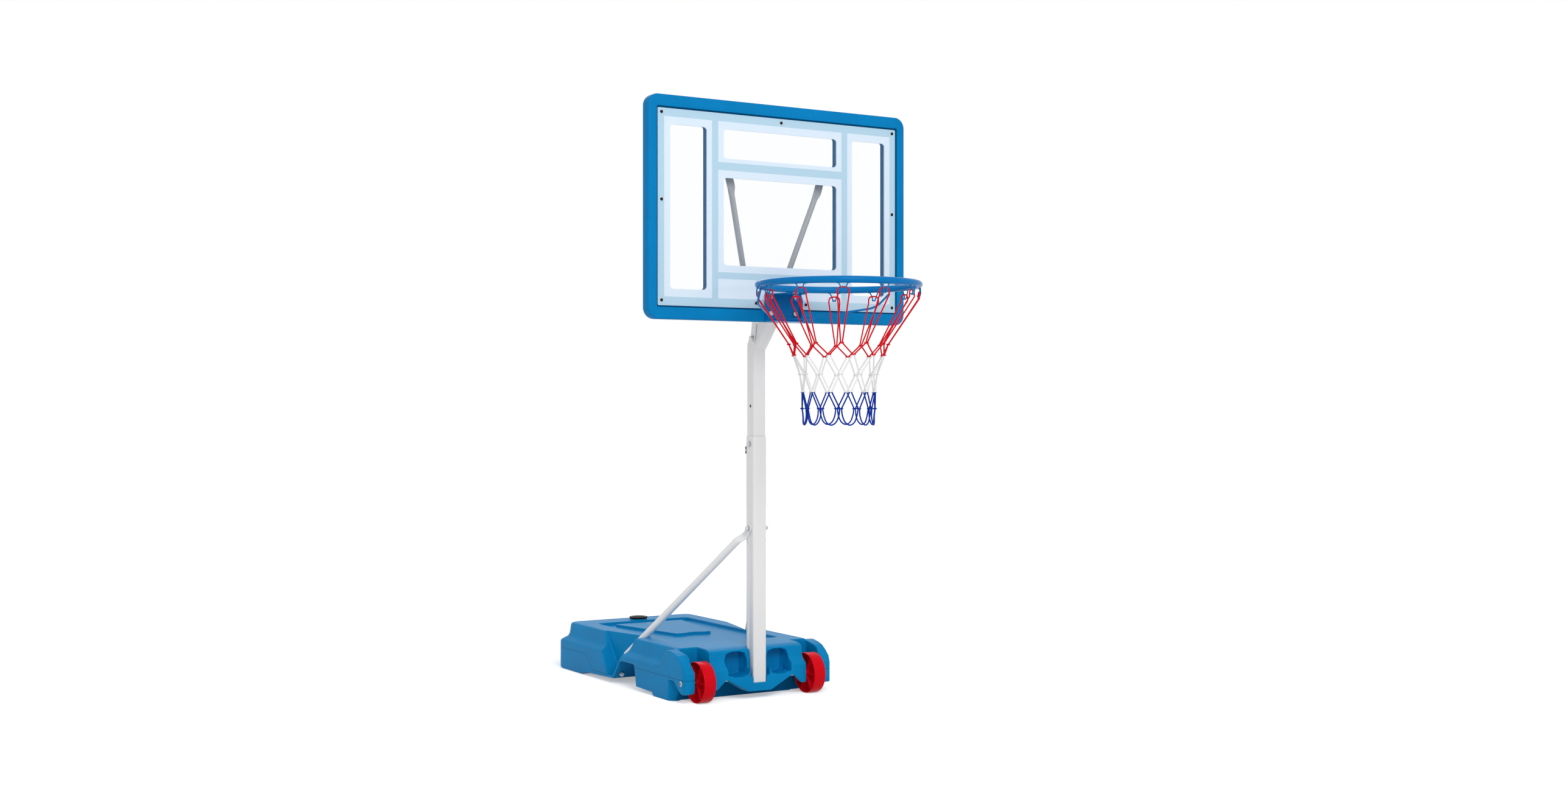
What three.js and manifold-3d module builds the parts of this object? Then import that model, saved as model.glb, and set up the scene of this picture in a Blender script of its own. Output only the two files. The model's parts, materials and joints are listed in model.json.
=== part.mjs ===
// Poolside basketball hoop, in millimetres: +Z up, the board faces -Y, X runs across the board.
import * as THREE from 'three';
import { mergeVertices } from 'three/addons/utils/BufferGeometryUtils.js';
import Module from 'manifold-3d';

const wasm = await Module();
wasm.setup();

// Clearances and curve detail
const touchGap = 0.3;
const shankGap = 0.4;
const overrun = 3;
const cornerSteps = 2;
const roundSides = 10;
const smallSides = 8;
const smallDiameter = 12;
const roundLimitShare = 0.48;

// Driving sizes
const hoopHeight = 1627;
const boardWidth = 813;
const boardHeight = 588;
const boardDepth = 35;
const tankWidth = 472;
const tankFront = 114;
const tankRear = 950;
const deckHeight = 143;

// Places across the tank, from its outer side
const tankHalf = tankWidth / 2;
const wellOuter = tankHalf - 30;
const wheelCenterOut = wellOuter - 30;
const wellInner = wellOuter - 56;
const skirtHalfWidth = wellInner - 15;
const lipHalfWidth = wellInner - 47;
const strutFootOut = tankHalf - 20;
const notchRearOut = tankHalf - 30;
const notchMiddleOut = tankHalf - 64;
const notchFrontOut = tankHalf - 86;
const trayHalfWidth = tankHalf - 81;
const padRearHalfWidth = trayHalfWidth - 40;

// Board
const boardBottomHeight = hoopHeight - boardHeight;
const boardCornerRadius = 30;
const boardEdgeRound = 5;
const panelSideMargin = 29.5;
const panelEndMargin = 35.5;
const panelWidth = boardWidth - 2 * panelSideMargin;
const panelHeight = boardHeight - 2 * panelEndMargin;
const panelThickness = 3;
const panelRecess = 4;
const panelCornerRadius = 12;
const windowCornerRadius = 10;
const sideWindowWidth = 109;
const sideWindowMargin = 66.5;
const centerWindowMargin = 227.5;
const centerWindowRise = 148;
const topWindowHeight = 78;
const windowTopMargin = 77;
const windowBottomMargin = 80;
const windowBarHeight = 52;
const barDepth = 24;
const frameWall = 3.5;
const ribThickness = 2.5;
const ribPitch = 190;
const screwMargin = 11;
const screwLowerMargin = 14;
const screwLowerOffset = 79;
const screwMiddleRise = 19;
const screwHeadDiameter = 11;
const screwHeadHeight = 3.5;
const screwDomeShare = 0.6;
const screwDiameter = 4;
const screwLength = 16;
const screwBossDiameter = 10;

// Rim, bracket and brace rod
const rimRise = 85;
const ringRadius = 207.5;
const ringTubeDiameter = 18;
const ringTubeWall = 1.5;
const ringReach = 281;
const ringSegments = 36;
const ringSides = 8;
const ringBoreSides = 4;
const drainDiameter = 5;
const hookCount = 12;
const hookWireDiameter = 3.2;
const hookSpread = 16;
const hookDepth = 24;
const hookWidth = 10;
const hookTipShare = 0.8;
const hookSinkShare = 0.25;
const bracketWidth = 110;
const bracketThickness = 3;
const bracketFlange = 16;
const bracketLip = 30;
const tongueWidth = 84;
const rimBoltSpacing = 77.2;
const rimBoltLowerRise = 23;
const rimBoltPitch = 45;
const boltDiameter = 8;
const rodDiameter = 7;
const rodRingAngle = 16;
const rodBendOut = 185;
const rodBendForward = 181;
const rodBendRise = 36;
const rodFootSpacing = 78;

// Net
const cordDiameter = 4;
const cordSides = 3;
const hookSides = 3;
const knotDiameter = 11;
const knotHeight = 6;
const knotSides = 5;
const knotSpread = 2.4;
const netLoopDrop = 18.7;
const netLoopWidth = 29;
const netLoopShoulder = 14;
const netRowDrops = [153.7, 182.3, 231, 276.4, 319.4];
const netRowRadii = [128.4, 119.5, 100, 96.2, 94.1];
const netTailDrop = 361;
const netTailRadius = 92;

// Shares of half the loop's width and of its shoulder, and of a tail's turn and drop
const netLoopShares = [
  [-1, 1],
  [-0.85, 0.35],
  [-0.45, 0],
];
const netTailShares = [
  [0.2, 0.77],
  [0.5, 1],
  [0.8, 0.77],
];

// Poles and height setting
const poleBack = 138;
const upperPoleWidth = 38;
const lowerPoleWidth = 42;
const poleWall = 1.2;
const poleCornerRadius = 3;
const elbowDrop = 64;
const elbowHeight = boardBottomHeight - elbowDrop;
const poleHeadroom = 173;
const lowerPoleTop = (hoopHeight - poleHeadroom) / 2;
const poleOverlap = 142;
const upperPoleBottom = lowerPoleTop - poleOverlap;
const poleHolePitch = 105;
const poleHoleDiameter = 9;
const glidePlugHeight = 20;
const heightBoltDrop = 21;
const heightBoltHeight = lowerPoleTop - heightBoltDrop;
const knobDrop = 39;
const knobHeight = lowerPoleTop - knobDrop;
const knobDiameter = 32;
const knobDepth = 14;
const knobHubDiameter = 13;
const knobHubLength = 22;
const knobLobes = 5;
const knobLobeSteps = 6;
const knobLobeDepthShare = 0.13;
const knobStudDiameter = 8;
const weldNutDiameter = 14;
const weldNutHeight = 4;
const mountPlateWidth = 110;
const mountPlateHeight = 82;
const mountPlateThickness = 4;

// Fasteners
const hexAcrossFlats = 13;
const hexHeadHeight = 5.5;
const hexNutHeight = 6.5;
const washerDiameter = 17;
const washerThickness = 1.6;
const boltTail = 4;

// Braces and struts
const braceDiameter = 16;
const strutDiameter = 21;
const strutShift = 18;
const tubeWall = 1.2;
const flatThickness = 4;
const flatWidth = 24;
const flatLength = 26;
const flatTaper = 24;
const flatTip = 13;
const elbowBoltRise = 24;
const elbowBoltBack = 119;
const braceTopOut = 150;
const braceTopRise = 407;
const strutTopRaise = 215;
const strutTopHeight = (lowerPoleTop + strutTopRaise) / 2;
const strutFootHeight = 37.5;

// Wheels and axle
const wheelDiameter = 113;
const wheelWidth = 36;
const wheelRimThickness = 3;
const wheelWebThickness = 3;
const wheelHubDiameter = 22;
const wheelRibs = 6;
const wheelSegments = 22;
const axleDiameter = 10;
const axleWall = 1.5;
const axleBack = 138;
const axleTail = 4;
const pushNutDiameter = 15;
const pushNutThickness = 2;

// Base tank
const tankCornerRadius = 28;
const tankWall = 4;
const tierHeight = 92;
const shoulderInset = 26;
const rollStart = 118;
const rollBack = 36;
const rollRound = 60;
const rollSteps = 3;
const tankFootRound = 4;
const tankEdgeRound = 6;
const fenderRear = 305;
const fenderCrestBack = 230;
const fenderSlopeBack = 141;
const fenderSlopeDrop = 24;
const fenderSlopeRun = 22;
const fenderBlend = 40;
const fenderNoseHeight = 87;
const fenderCornerRadius = 18;
const wellRear = 208;
const lowerWallHeight = 58;
const lowerWallBack = 186;
const lowerWallFoot = 199;
const lobeBottom = 26;
const lobeRound = 22;
const lobeNose = 30.8;
const lipHeight = 68;
const chinHalfWidth = 36;
const chinBottom = 22;
const chinRear = 166;
const scoopFloor = 64;
const scoopTop = 132;
const scoopRear = 178;
const scoopInner = 31;
const scoopRound = 24;
const poleSeatHeight = 45;
const poleCheekBack = 134;
const skirtBottom = 34;
const skirtRear = 124;
const notchFrontTop = 463;
const notchFrontBottom = 566;
const notchBottomHeight = 22;
const notchRearBottom = 600;
const notchRearTop = 664;
const webBottom = 16;
const webThickness = 7.5;
const archFrontTop = 425;
const archFrontBottom = 404;
const archTopHeight = 73;
const archDepth = 84;
const footRise = 10;
const frontFootRear = 312;
const rearFootFront = 785;
const rearFootRamp = 38;
const trayFront = 275;
const trayRear = 835;
const trayDepth = 10;
const trayCornerRadius = 14;
const padFrontHalfWidth = 58;
const padRear = 793;
const padFront = 500;
const padHeight = 9;
const padNotchDepth = 10;
const fillBack = 864;
const fillDiameter = 44;
const collarHeight = 3;
const capDiameter = 57;
const capThickness = 3.4;
const capSkirtLength = 14;
const capSkirtWall = 3;
const capDishDiameter = 38;
const capDishDepth = 6;
const capGripThickness = 5;
const sealThickness = 2;
const sealDiameter = 54;

// Places worked out from the sizes above
const boardTopHeight = boardBottomHeight + boardHeight;
const boardMiddleHeight = boardBottomHeight + boardHeight / 2;
const panelBack = panelRecess + panelThickness;
const rimHeight = boardBottomHeight + rimRise;
const axleHeight = wheelDiameter / 2;
const hexRadius = hexAcrossFlats / Math.sqrt(3);
const plateBack = boardDepth + touchGap + mountPlateThickness;
const partFront = -ringReach - ringRadius - ringTubeDiameter / 2;
const partMiddle = (partFront + tankRear) / 2;
const elbowBoltHeight = elbowHeight + elbowBoltRise;
const braceTopHeight = boardBottomHeight + braceTopRise;
const rimBoltHeights = [rimBoltLowerRise, rimBoltLowerRise + rimBoltPitch].map(
  (rise) => boardBottomHeight + rise,
);

const finish = (color, roughness, metalness = 0) => new THREE.MeshStandardMaterial(
  { color, roughness, metalness },
);
const tankBlue = finish('#1f7ab8', 0.55);
const boardBlue = finish('#1a78b8', 0.5);
const rimBlue = finish('#1d6fae', 0.35, 0.2);
const poleWhite = finish('#e6e6e6', 0.4, 0.1);
const wheelRed = finish('#d81020', 0.25);
const clearSheet = finish('#dcecfb', 0.15);
const zincSteel = finish('#c9ccd0', 0.3, 1);
const knobBlack = finish('#17181a', 0.5);
const cordRed = finish('#d8101c', 0.8);

// Solid from a closed geometry, with its faces turned outwards
function solid(geometry) {
  const bare = geometry.clone();
  bare.deleteAttribute('normal');
  bare.deleteAttribute('uv');
  const merged = mergeVertices(bare);
  const mesh = {
    numProp: 3,
    vertProperties: merged.attributes.position.array,
    triVerts: new Uint32Array(merged.index.array),
  };
  const made = new wasm.Manifold(new wasm.Mesh(mesh));
  if (made.volume() >= 0) return made;
  mesh.triVerts = mesh.triVerts.reverse();
  return new wasm.Manifold(new wasm.Mesh(mesh));
}

function geometryOf(shape) {
  const { vertProperties, triVerts } = shape.getMesh();
  const geometry = new THREE.BufferGeometry();
  geometry.setAttribute('position', new THREE.BufferAttribute(vertProperties, 3));
  geometry.setIndex(new THREE.BufferAttribute(triVerts, 1));
  return geometry.toNonIndexed();
}

const union = (shapes) => shapes.reduce((sum, shape) => sum.add(shape));

// Outline through corners [a, b, round], each rounded over the given length of its edges
function outline(corners) {
  const shape = new THREE.Shape();
  corners.forEach(([a, b, round = 0], i) => {
    const corner = new THREE.Vector2(a, b);
    const before = new THREE.Vector2(...corners.at(i - 1)).sub(corner);
    const after = new THREE.Vector2(...corners[(i + 1) % corners.length]).sub(corner);
    const reach = Math.min(round, before.length() * roundLimitShare, after.length() * roundLimitShare);
    const start = corner.clone().add(before.setLength(reach));
    const end = corner.clone().add(after.setLength(reach));
    if (i === 0) shape.moveTo(start.x, start.y);
    else shape.lineTo(start.x, start.y);
    if (reach > 0) shape.quadraticCurveTo(corner.x, corner.y, end.x, end.y);
  });
  shape.closePath();
  return shape;
}

// The same corners with every edge moved out by a distance, or in where it is negative
function grown(corners, distance) {
  const turn = Math.sign(THREE.ShapeUtils.area(corners.map(([x, y]) => ({ x, y }))));
  return corners.map(([a, b, round], i) => {
    const before = corners.at(i - 1);
    const after = corners[(i + 1) % corners.length];
    const edgeIn = new THREE.Vector2(a - before[0], b - before[1]).normalize();
    const edgeOut = new THREE.Vector2(after[0] - a, after[1] - b).normalize();
    const shift = new THREE.Vector2(edgeIn.y + edgeOut.y, -edgeIn.x - edgeOut.x);
    shift.multiplyScalar((turn * distance) / (1 + edgeIn.dot(edgeOut)));
    return [a + shift.x, b + shift.y, round];
  });
}

const rectangle = (left, right, bottom, top, round = 0) => [
  [left, bottom, round],
  [right, bottom, round],
  [right, top, round],
  [left, top, round],
];

const axisBases = {
  x: [new THREE.Vector3(0, 1, 0), new THREE.Vector3(0, 0, 1), new THREE.Vector3(1, 0, 0)],
  y: [new THREE.Vector3(-1, 0, 0), new THREE.Vector3(0, 0, 1), new THREE.Vector3(0, 1, 0)],
  z: [new THREE.Vector3(1, 0, 0), new THREE.Vector3(0, 1, 0), new THREE.Vector3(0, 0, 1)],
};

// Prism from a shape along an axis: shapes are drawn as (y, z), (x, z) or (x, y)
function prism(axis, shape, from, to, options = {}) {
  const settings = { depth: to - from, bevelEnabled: false, curveSegments: cornerSteps, ...options };
  const geometry = new THREE.ExtrudeGeometry(shape, settings);
  geometry.translate(0, 0, from);
  geometry.applyMatrix4(new THREE.Matrix4().makeBasis(...axisBases[axis]));
  return solid(geometry);
}

// A shape drawn as (x, z) is mirrored first, because +Y needs X turned about
const flipped = (corners) => corners.map(([a, b, round]) => [-a, b, round]);
const prismX = (corners, from, to) => prism('x', outline(corners), from, to);
const prismY = (corners, from, to) => prism('y', outline(flipped(corners)), from, to);
const prismZ = (corners, from, to) => prism('z', outline(corners), from, to);

function polygon(sides, diameter) {
  const corner = (_, i) => {
    const angle = (2 * Math.PI * (i + 0.5)) / sides;
    return new THREE.Vector2(Math.cos(angle), Math.sin(angle)).multiplyScalar(diameter / 2);
  };
  return Array.from({ length: sides }, corner);
}

const sidesOf = (diameter) => (diameter > smallDiameter ? roundSides : smallSides);

// Round bar along an axis through the point (a, b) of its other two axes
function disc(axis, [a, b], diameter, from, to, sides = sidesOf(diameter)) {
  const center = new THREE.Vector2(axis === 'y' ? -a : a, b);
  const circle = new THREE.Shape(polygon(sides, diameter).map((point) => point.add(center)));
  return prism(axis, circle, from, to);
}

// Closed skin through rings of points, with flat ends
function loft(rings) {
  const count = rings[0].length;
  const top = (rings.length - 1) * count;
  const faces = [];
  for (let level = 0; level + 1 < rings.length; level += 1) {
    for (let i = 0; i < count; i += 1) {
      const a = level * count + i;
      const b = level * count + ((i + 1) % count);
      faces.push(a, b, a + count, b, b + count, a + count);
    }
  }
  for (let i = 1; i + 1 < count; i += 1) {
    faces.push(0, i + 1, i, top, top + i, top + i + 1);
  }
  const geometry = new THREE.BufferGeometry().setFromPoints(rings.flat());
  geometry.setIndex(faces);
  return solid(geometry);
}

// Ring of points round a center, wide along one direction and thin along the other
function oval(center, wide, thin, halfWidth, halfThickness, sides = roundSides) {
  const place = (point) => center
    .clone()
    .addScaledVector(wide, halfWidth * point.x)
    .addScaledVector(thin, halfThickness * point.y);
  return polygon(sides, 2).map(place);
}

// Round bar bent through a list of points
function bentBar(points, diameter, sides) {
  const wide = new THREE.Vector3();
  const rings = points.map((point, i) => {
    const ahead = points[Math.min(i + 1, points.length - 1)];
    const behind = points[Math.max(i - 1, 0)];
    const along = ahead.clone().sub(behind).normalize();
    if (i === 0) wide.set(along.z, along.x, along.y);
    wide.addScaledVector(along, -wide.dot(along)).normalize();
    return oval(point, wide, along.clone().cross(wide), diameter / 2, diameter / 2, sides);
  });
  return loft(rings);
}

const bar = (from, to, diameter, sides = sidesOf(diameter)) => bentBar([from, to], diameter, sides);
const boxBetween = (low, high) => prismZ(rectangle(low[0], high[0], low[1], high[1]), low[2], high[2]);

function piece(name, shape, material, position = [0, 0, 0]) {
  const mesh = new THREE.Mesh(geometryOf(shape), material);
  mesh.name = name;
  mesh.position.set(...position);
  return mesh;
}

function pointed(mesh, direction) {
  mesh.quaternion.setFromUnitVectors(new THREE.Vector3(0, 0, 1), direction);
  return mesh;
}

const sideNames = [[-1, 'left'], [1, 'right']];

// Hex bolt, with a washer or none: the seat is at zero, the head above it and the shank below
function hexBolt(length, washerHeight) {
  const head = disc('z', [0, 0], 2 * hexRadius, washerHeight / 2, washerHeight + hexHeadHeight, 6);
  const bolt = head.add(disc('z', [0, 0], boltDiameter, -length, washerHeight / 2 + overrun));
  return washerHeight > 0 ? bolt.add(disc('z', [0, 0], washerDiameter, 0, washerHeight)) : bolt;
}

function hexNut() {
  const body = disc('z', [0, 0], 2 * hexRadius, 0, hexNutHeight, 6);
  return body.subtract(disc('z', [0, 0], boltDiameter + 2 * shankGap, -overrun, hexNutHeight + overrun));
}

// Board
const boardArea = rectangle(
  -boardWidth / 2,
  boardWidth / 2,
  boardBottomHeight,
  boardTopHeight,
  boardCornerRadius,
);
const panelBottomHeight = boardMiddleHeight - panelHeight / 2;
const panelTopHeight = boardMiddleHeight + panelHeight / 2;
const panelArea = rectangle(
  -panelWidth / 2,
  panelWidth / 2,
  panelBottomHeight,
  panelTopHeight,
  panelCornerRadius,
);

function windowAreas() {
  const top = boardTopHeight - windowTopMargin;
  const bottom = boardBottomHeight + windowBottomMargin;
  const barTop = top - topWindowHeight;
  const centerTop = barTop - windowBarHeight;
  const outer = boardWidth / 2 - sideWindowMargin;
  const inner = outer - sideWindowWidth;
  const half = boardWidth / 2 - centerWindowMargin;
  return [
    rectangle(-outer, -inner, bottom, top, windowCornerRadius),
    rectangle(inner, outer, bottom, top, windowCornerRadius),
    rectangle(-half, half, barTop, top, windowCornerRadius),
    rectangle(-half, half, boardBottomHeight + centerWindowRise, centerTop, windowCornerRadius),
  ];
}

function screwPlaces() {
  const side = panelWidth / 2 - screwMargin;
  const top = panelTopHeight - screwMargin;
  const middle = boardMiddleHeight + screwMiddleRise;
  const low = panelBottomHeight + screwLowerMargin;
  const corners = [top, middle, low].flatMap((z) => [[-side, z], [side, z]]);
  return [...corners, [0, top], [-screwLowerOffset, low], [screwLowerOffset, low]];
}

const rimBoltPlaces = rimBoltHeights.flatMap((z) => [[-rimBoltSpacing / 2, z], [rimBoltSpacing / 2, z]]);
const braceTopPlaces = sideNames.map(([side]) => [side * braceTopOut, braceTopHeight]);
const drilled = (places, diameter, from, to) => union(
  places.map((place) => disc('y', place, diameter, from, to)),
);

// Stiffening ribs that fill the open back between the walls
function boardRibs(from, to) {
  const ribs = [];
  for (let x = 0; x < boardWidth / 2; x += ribPitch) {
    for (const side of x > 0 ? [-x, x] : [0]) {
      ribs.push(
        rectangle(side - ribThickness / 2, side + ribThickness / 2, boardBottomHeight, boardTopHeight),
      );
    }
  }
  for (let z = boardBottomHeight + ribPitch / 2; z < boardTopHeight; z += ribPitch) {
    ribs.push(rectangle(-boardWidth / 2, boardWidth / 2, z - ribThickness / 2, z + ribThickness / 2));
  }
  return union(ribs.map((area) => prismY(area, from, to)));
}

function makeBackboardFrame() {
  const seat = panelBack + touchGap;
  const back = boardDepth + overrun;
  const face = seat + frameWall;
  const bevel = {
    bevelEnabled: true,
    bevelThickness: boardEdgeRound,
    bevelSize: boardEdgeRound,
    bevelOffset: -boardEdgeRound,
    bevelSegments: 1,
  };
  const block = prism('y', outline(boardArea), boardEdgeRound, boardDepth - boardEdgeRound, bevel);
  const recess = prismY(grown(panelArea, touchGap), -overrun, seat);
  const windows = union(windowAreas().map((area) => prismY(area, -overrun, back)));
  const windowWalls = union(windowAreas().map((area) => prismY(grown(area, frameWall), face, back)));
  const panelBacking = prismY(panelArea, face, back);
  const rimWall = prismY(grown(panelArea, frameWall), face, back).subtract(panelBacking);
  const pocket = prismY(grown(boardArea, -frameWall), face, back);
  const shallow = prismY(panelArea, barDepth, back);
  const plateHalf = mountPlateWidth / 2;
  const plateTop = boardBottomHeight + mountPlateHeight;
  const pad = prismY(rectangle(-plateHalf, plateHalf, boardBottomHeight, plateTop), face, boardDepth);
  const bosses = drilled(screwPlaces(), screwBossDiameter, face, barDepth);
  const braceBosses = drilled(braceTopPlaces, washerDiameter, face, boardDepth);
  const kept = union([pad, bosses, braceBosses]);
  const ribs = boardRibs(face, boardDepth - boardEdgeRound);
  const open = pocket.subtract(windowWalls).subtract(rimWall).subtract(ribs).add(shallow).subtract(kept);
  const holes = union([
    drilled(rimBoltPlaces, boltDiameter + 2 * shankGap, -overrun, back),
    drilled(braceTopPlaces, screwDiameter + 2 * shankGap, face, back),
    drilled(screwPlaces(), screwDiameter + 2 * shankGap, 0, back),
  ]);
  return block.subtract(recess).subtract(windows).subtract(open).subtract(holes);
}

function makeClearPanel() {
  const sheet = prismY(panelArea, panelRecess, panelBack);
  const upperBolts = rimBoltPlaces.filter(([, z]) => z > panelBottomHeight);
  const boltHoles = drilled(upperBolts, boltDiameter + 2 * shankGap, 0, boardDepth);
  return sheet.subtract(boltHoles).subtract(
    drilled(screwPlaces(), screwDiameter + 2 * shankGap, 0, boardDepth),
  );
}

// Round-head screw: the seat is at zero, the head above it and the shank below
function roundScrew(length) {
  const radius = screwHeadDiameter / 2;
  const shank = screwDiameter / 2;
  const dome = [
    [0, -length],
    [shank, -length],
    [shank, 0],
    [radius, 0],
    [radius * screwDomeShare, screwHeadHeight],
    [0, screwHeadHeight],
  ];
  const lathe = new THREE.LatheGeometry(dome.map((point) => new THREE.Vector2(...point)), smallSides);
  return solid(lathe.rotateX(Math.PI / 2));
}

// Rim: a hollow ring about its own center, with wire hooks welded under it
const around = (angle, out, across, height) => new THREE.Vector3(across, -out, height)
  .applyAxisAngle(new THREE.Vector3(0, 0, 1), angle);

function torus(radius, diameter, segments, sides) {
  const profile = polygon(sides, diameter).map((point) => new THREE.Vector2(radius + point.x, point.y));
  const lathe = new THREE.LatheGeometry([...profile, profile[0]], segments);
  return solid(lathe.rotateX(Math.PI / 2));
}

// Half the hook: share of its spread, step back towards the net's outside and share of its depth
const hookHalfShares = [
  [1, 0, 0],
  [0.55, 0.8, 0.2],
  [0.32, 1, 0.55],
  [0.2, 0.2, 0.96],
];

function netHook(angle) {
  const start = -ringTubeDiameter / 2 + hookSinkShare * hookWireDiameter;
  const outset = (cordDiameter + hookWireDiameter) / 2 + 2 * touchGap;
  const half = hookHalfShares.map(
    ([across, out, down]) => [across * hookSpread, out * outset, start - down * hookDepth],
  );
  const tip = [0, -outset, start - hookTipShare * hookDepth];
  const other = half.map(([across, out, height]) => [-across, out, height]).reverse();
  const points = [...half, tip, ...other].map(
    ([across, out, height]) => around(angle, ringRadius + out, across, height),
  );
  return bentBar(points, hookWireDiameter, hookSides);
}

function makeRimRing() {
  const tube = torus(ringRadius, ringTubeDiameter, ringSegments, ringSides);
  const bore = torus(ringRadius, ringTubeDiameter - 2 * ringTubeWall, ringSegments, ringBoreSides);
  const hooks = Array.from({ length: hookCount }, (_, i) => netHook((2 * Math.PI * i) / hookCount));
  const drainAngle = Math.PI / hookCount;
  const drain = bar(
    around(drainAngle, ringRadius, 0, 0),
    around(drainAngle, ringRadius, 0, -ringTubeDiameter),
    drainDiameter,
    smallSides,
  );
  return union([tube, ...hooks]).subtract(bore).subtract(drain);
}

function makeRimBracket() {
  const back = -touchGap;
  const front = back - bracketThickness;
  const half = bracketWidth / 2;
  const bottom = boardBottomHeight;
  const top = rimHeight - ringTubeDiameter / 2 - touchGap;
  const plate = prismY(rectangle(-half, half, bottom, top), front, back);
  const flangeSide = [
    [back, bottom],
    [back, top],
    [front - bracketFlange / 2, top],
    [front - bracketFlange, top - bracketFlange],
    [front - bracketFlange, bottom],
  ];
  const flanges = [-half, half - bracketThickness].map((x) => prismX(flangeSide, x, x + bracketThickness));
  const lipOutline = [
    [-half, back],
    [half, back],
    [half, front - bracketFlange],
    [rodFootSpacing / 2, front - bracketLip],
    [-rodFootSpacing / 2, front - bracketLip],
    [-half, front - bracketFlange],
  ];
  const lip = prismZ(lipOutline, bottom, bottom + bracketThickness);
  const tip = ringRadius - ringReach - ringTubeDiameter / 3;
  const notch = tip + ringTubeDiameter;
  const outer = tongueWidth / 2;
  const inner = hookSpread + hookWireDiameter;
  const neck = rimBoltSpacing / 2 - hexRadius - touchGap;
  const clear = front - hexHeadHeight - overrun;
  const tongueOutline = [
    [-neck, back],
    [neck, back],
    [neck, clear],
    [outer, clear],
    [(outer + inner) / 2, tip],
    [inner, tip],
    [inner, notch],
    [-inner, notch],
    [-inner, tip],
    [-(outer + inner) / 2, tip],
    [-outer, clear],
    [-neck, clear],
  ];
  const tongue = prismZ(tongueOutline, top - bracketThickness, top);
  const holes = drilled(rimBoltPlaces, boltDiameter + 2 * shankGap, front - overrun, back + overrun);
  return union([plate, ...flanges, lip, tongue]).subtract(holes);
}

function makeBraceRod() {
  const angle = THREE.MathUtils.degToRad(rodRingAngle);
  const under = rimHeight - ringTubeDiameter / 2 - rodDiameter / 2 - touchGap;
  const footForward = touchGap + bracketThickness + bracketFlange + touchGap;
  const footHeight = boardBottomHeight + bracketThickness + touchGap + rodDiameter / 2;
  const half = [
    [ringRadius * Math.cos(angle), ringRadius * Math.sin(angle) - ringReach, under],
    [rodBendOut, -rodBendForward, boardBottomHeight + rodBendRise],
    [rodFootSpacing / 2, -footForward, footHeight],
  ];
  const other = half.map(([x, y, z]) => [-x, y, z]).reverse();
  const points = [...half, ...other].map((point) => new THREE.Vector3(...point));
  return bentBar(points, rodDiameter, smallSides);
}

// Net: twelve loops on the hooks, four rows of crossed cords and a row of tails, knotted together
const netTurn = (2 * Math.PI) / hookCount;
const lastRow = netRowDrops.length - 1;
const netAngle = (row, column) => (column + (row % 2) / 2) * netTurn;

// Where a cord enters a knot, on one side of the knot's middle
const knotEnd = (row, column, side) => around(
  netAngle(row, column),
  netRowRadii[row],
  side * knotSpread,
  -netRowDrops[row],
);

function netLoop(column) {
  const half = netLoopShares.map(
    ([across, down]) => [(across * netLoopWidth) / 2, -netLoopDrop - down * netLoopShoulder],
  );
  const other = half.map(([across, height]) => [-across, height]).reverse();
  const points = [...half, ...other].map(
    ([across, height]) => around(column * netTurn, ringRadius, across, height),
  );
  return bentBar([knotEnd(0, column, -1), ...points, knotEnd(0, column, 1)], cordDiameter, cordSides);
}

function netTail(column) {
  const points = netTailShares.map(([share, down]) => {
    const drop = netRowDrops[lastRow] + down * (netTailDrop - netRowDrops[lastRow]);
    return around(netAngle(lastRow, column) + share * netTurn, netTailRadius, 0, -drop);
  });
  const ends = [knotEnd(lastRow, column, 1), knotEnd(lastRow, column + 1, -1)];
  return bentBar([ends[0], ...points, ends[1]], cordDiameter, cordSides);
}

function netKnot(row, column) {
  const knot = disc('z', [0, 0], knotDiameter, -knotHeight / 2, knotHeight / 2, knotSides);
  return knot.rotate([0, 0, THREE.MathUtils.radToDeg(netAngle(row, column))]).translate(
    knotEnd(row, column, 0).toArray(),
  );
}

function makeNet() {
  const parts = [];
  for (let column = 0; column < hookCount; column += 1) {
    parts.push(netLoop(column), netTail(column));
    for (let row = 0; row <= lastRow; row += 1) {
      parts.push(netKnot(row, column));
      if (row === lastRow) continue;
      const right = column + (row % 2);
      parts.push(bar(knotEnd(row, column, -1), knotEnd(row + 1, right - 1, 1), cordDiameter, cordSides));
      parts.push(bar(knotEnd(row, column, 1), knotEnd(row + 1, right, -1), cordDiameter, cordSides));
    }
  }
  return union(parts);
}

// Poles
const squareTube = (width, from, to) => {
  const half = width / 2;
  return prismZ(rectangle(-half, half, poleBack - half, poleBack + half, poleCornerRadius), from, to);
};

function makeLowerPole() {
  const half = lowerPoleWidth / 2;
  const bottom = poleSeatHeight + touchGap;
  const tube = squareTube(lowerPoleWidth, bottom, lowerPoleTop);
  const bore = squareTube(lowerPoleWidth - 2 * poleWall, bottom - overrun, lowerPoleTop + overrun);
  const rear = poleBack + half;
  const weldNut = disc('y', [0, knobHeight], weldNutDiameter, rear - poleWall / 2, rear + weldNutHeight, 6);
  const holes = [
    disc('x', [axleBack, axleHeight], axleDiameter + 2 * shankGap, -lowerPoleWidth, lowerPoleWidth),
    disc('x', [poleBack, strutTopHeight], boltDiameter + 2 * shankGap, -lowerPoleWidth, lowerPoleWidth),
    disc('x', [poleBack, heightBoltHeight], boltDiameter + 2 * shankGap, -lowerPoleWidth, 0),
    disc('y', [0, knobHeight], knobStudDiameter + 2 * shankGap, poleBack, rear + weldNutHeight + overrun),
  ];
  return tube.subtract(bore).add(weldNut).subtract(union(holes));
}

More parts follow.
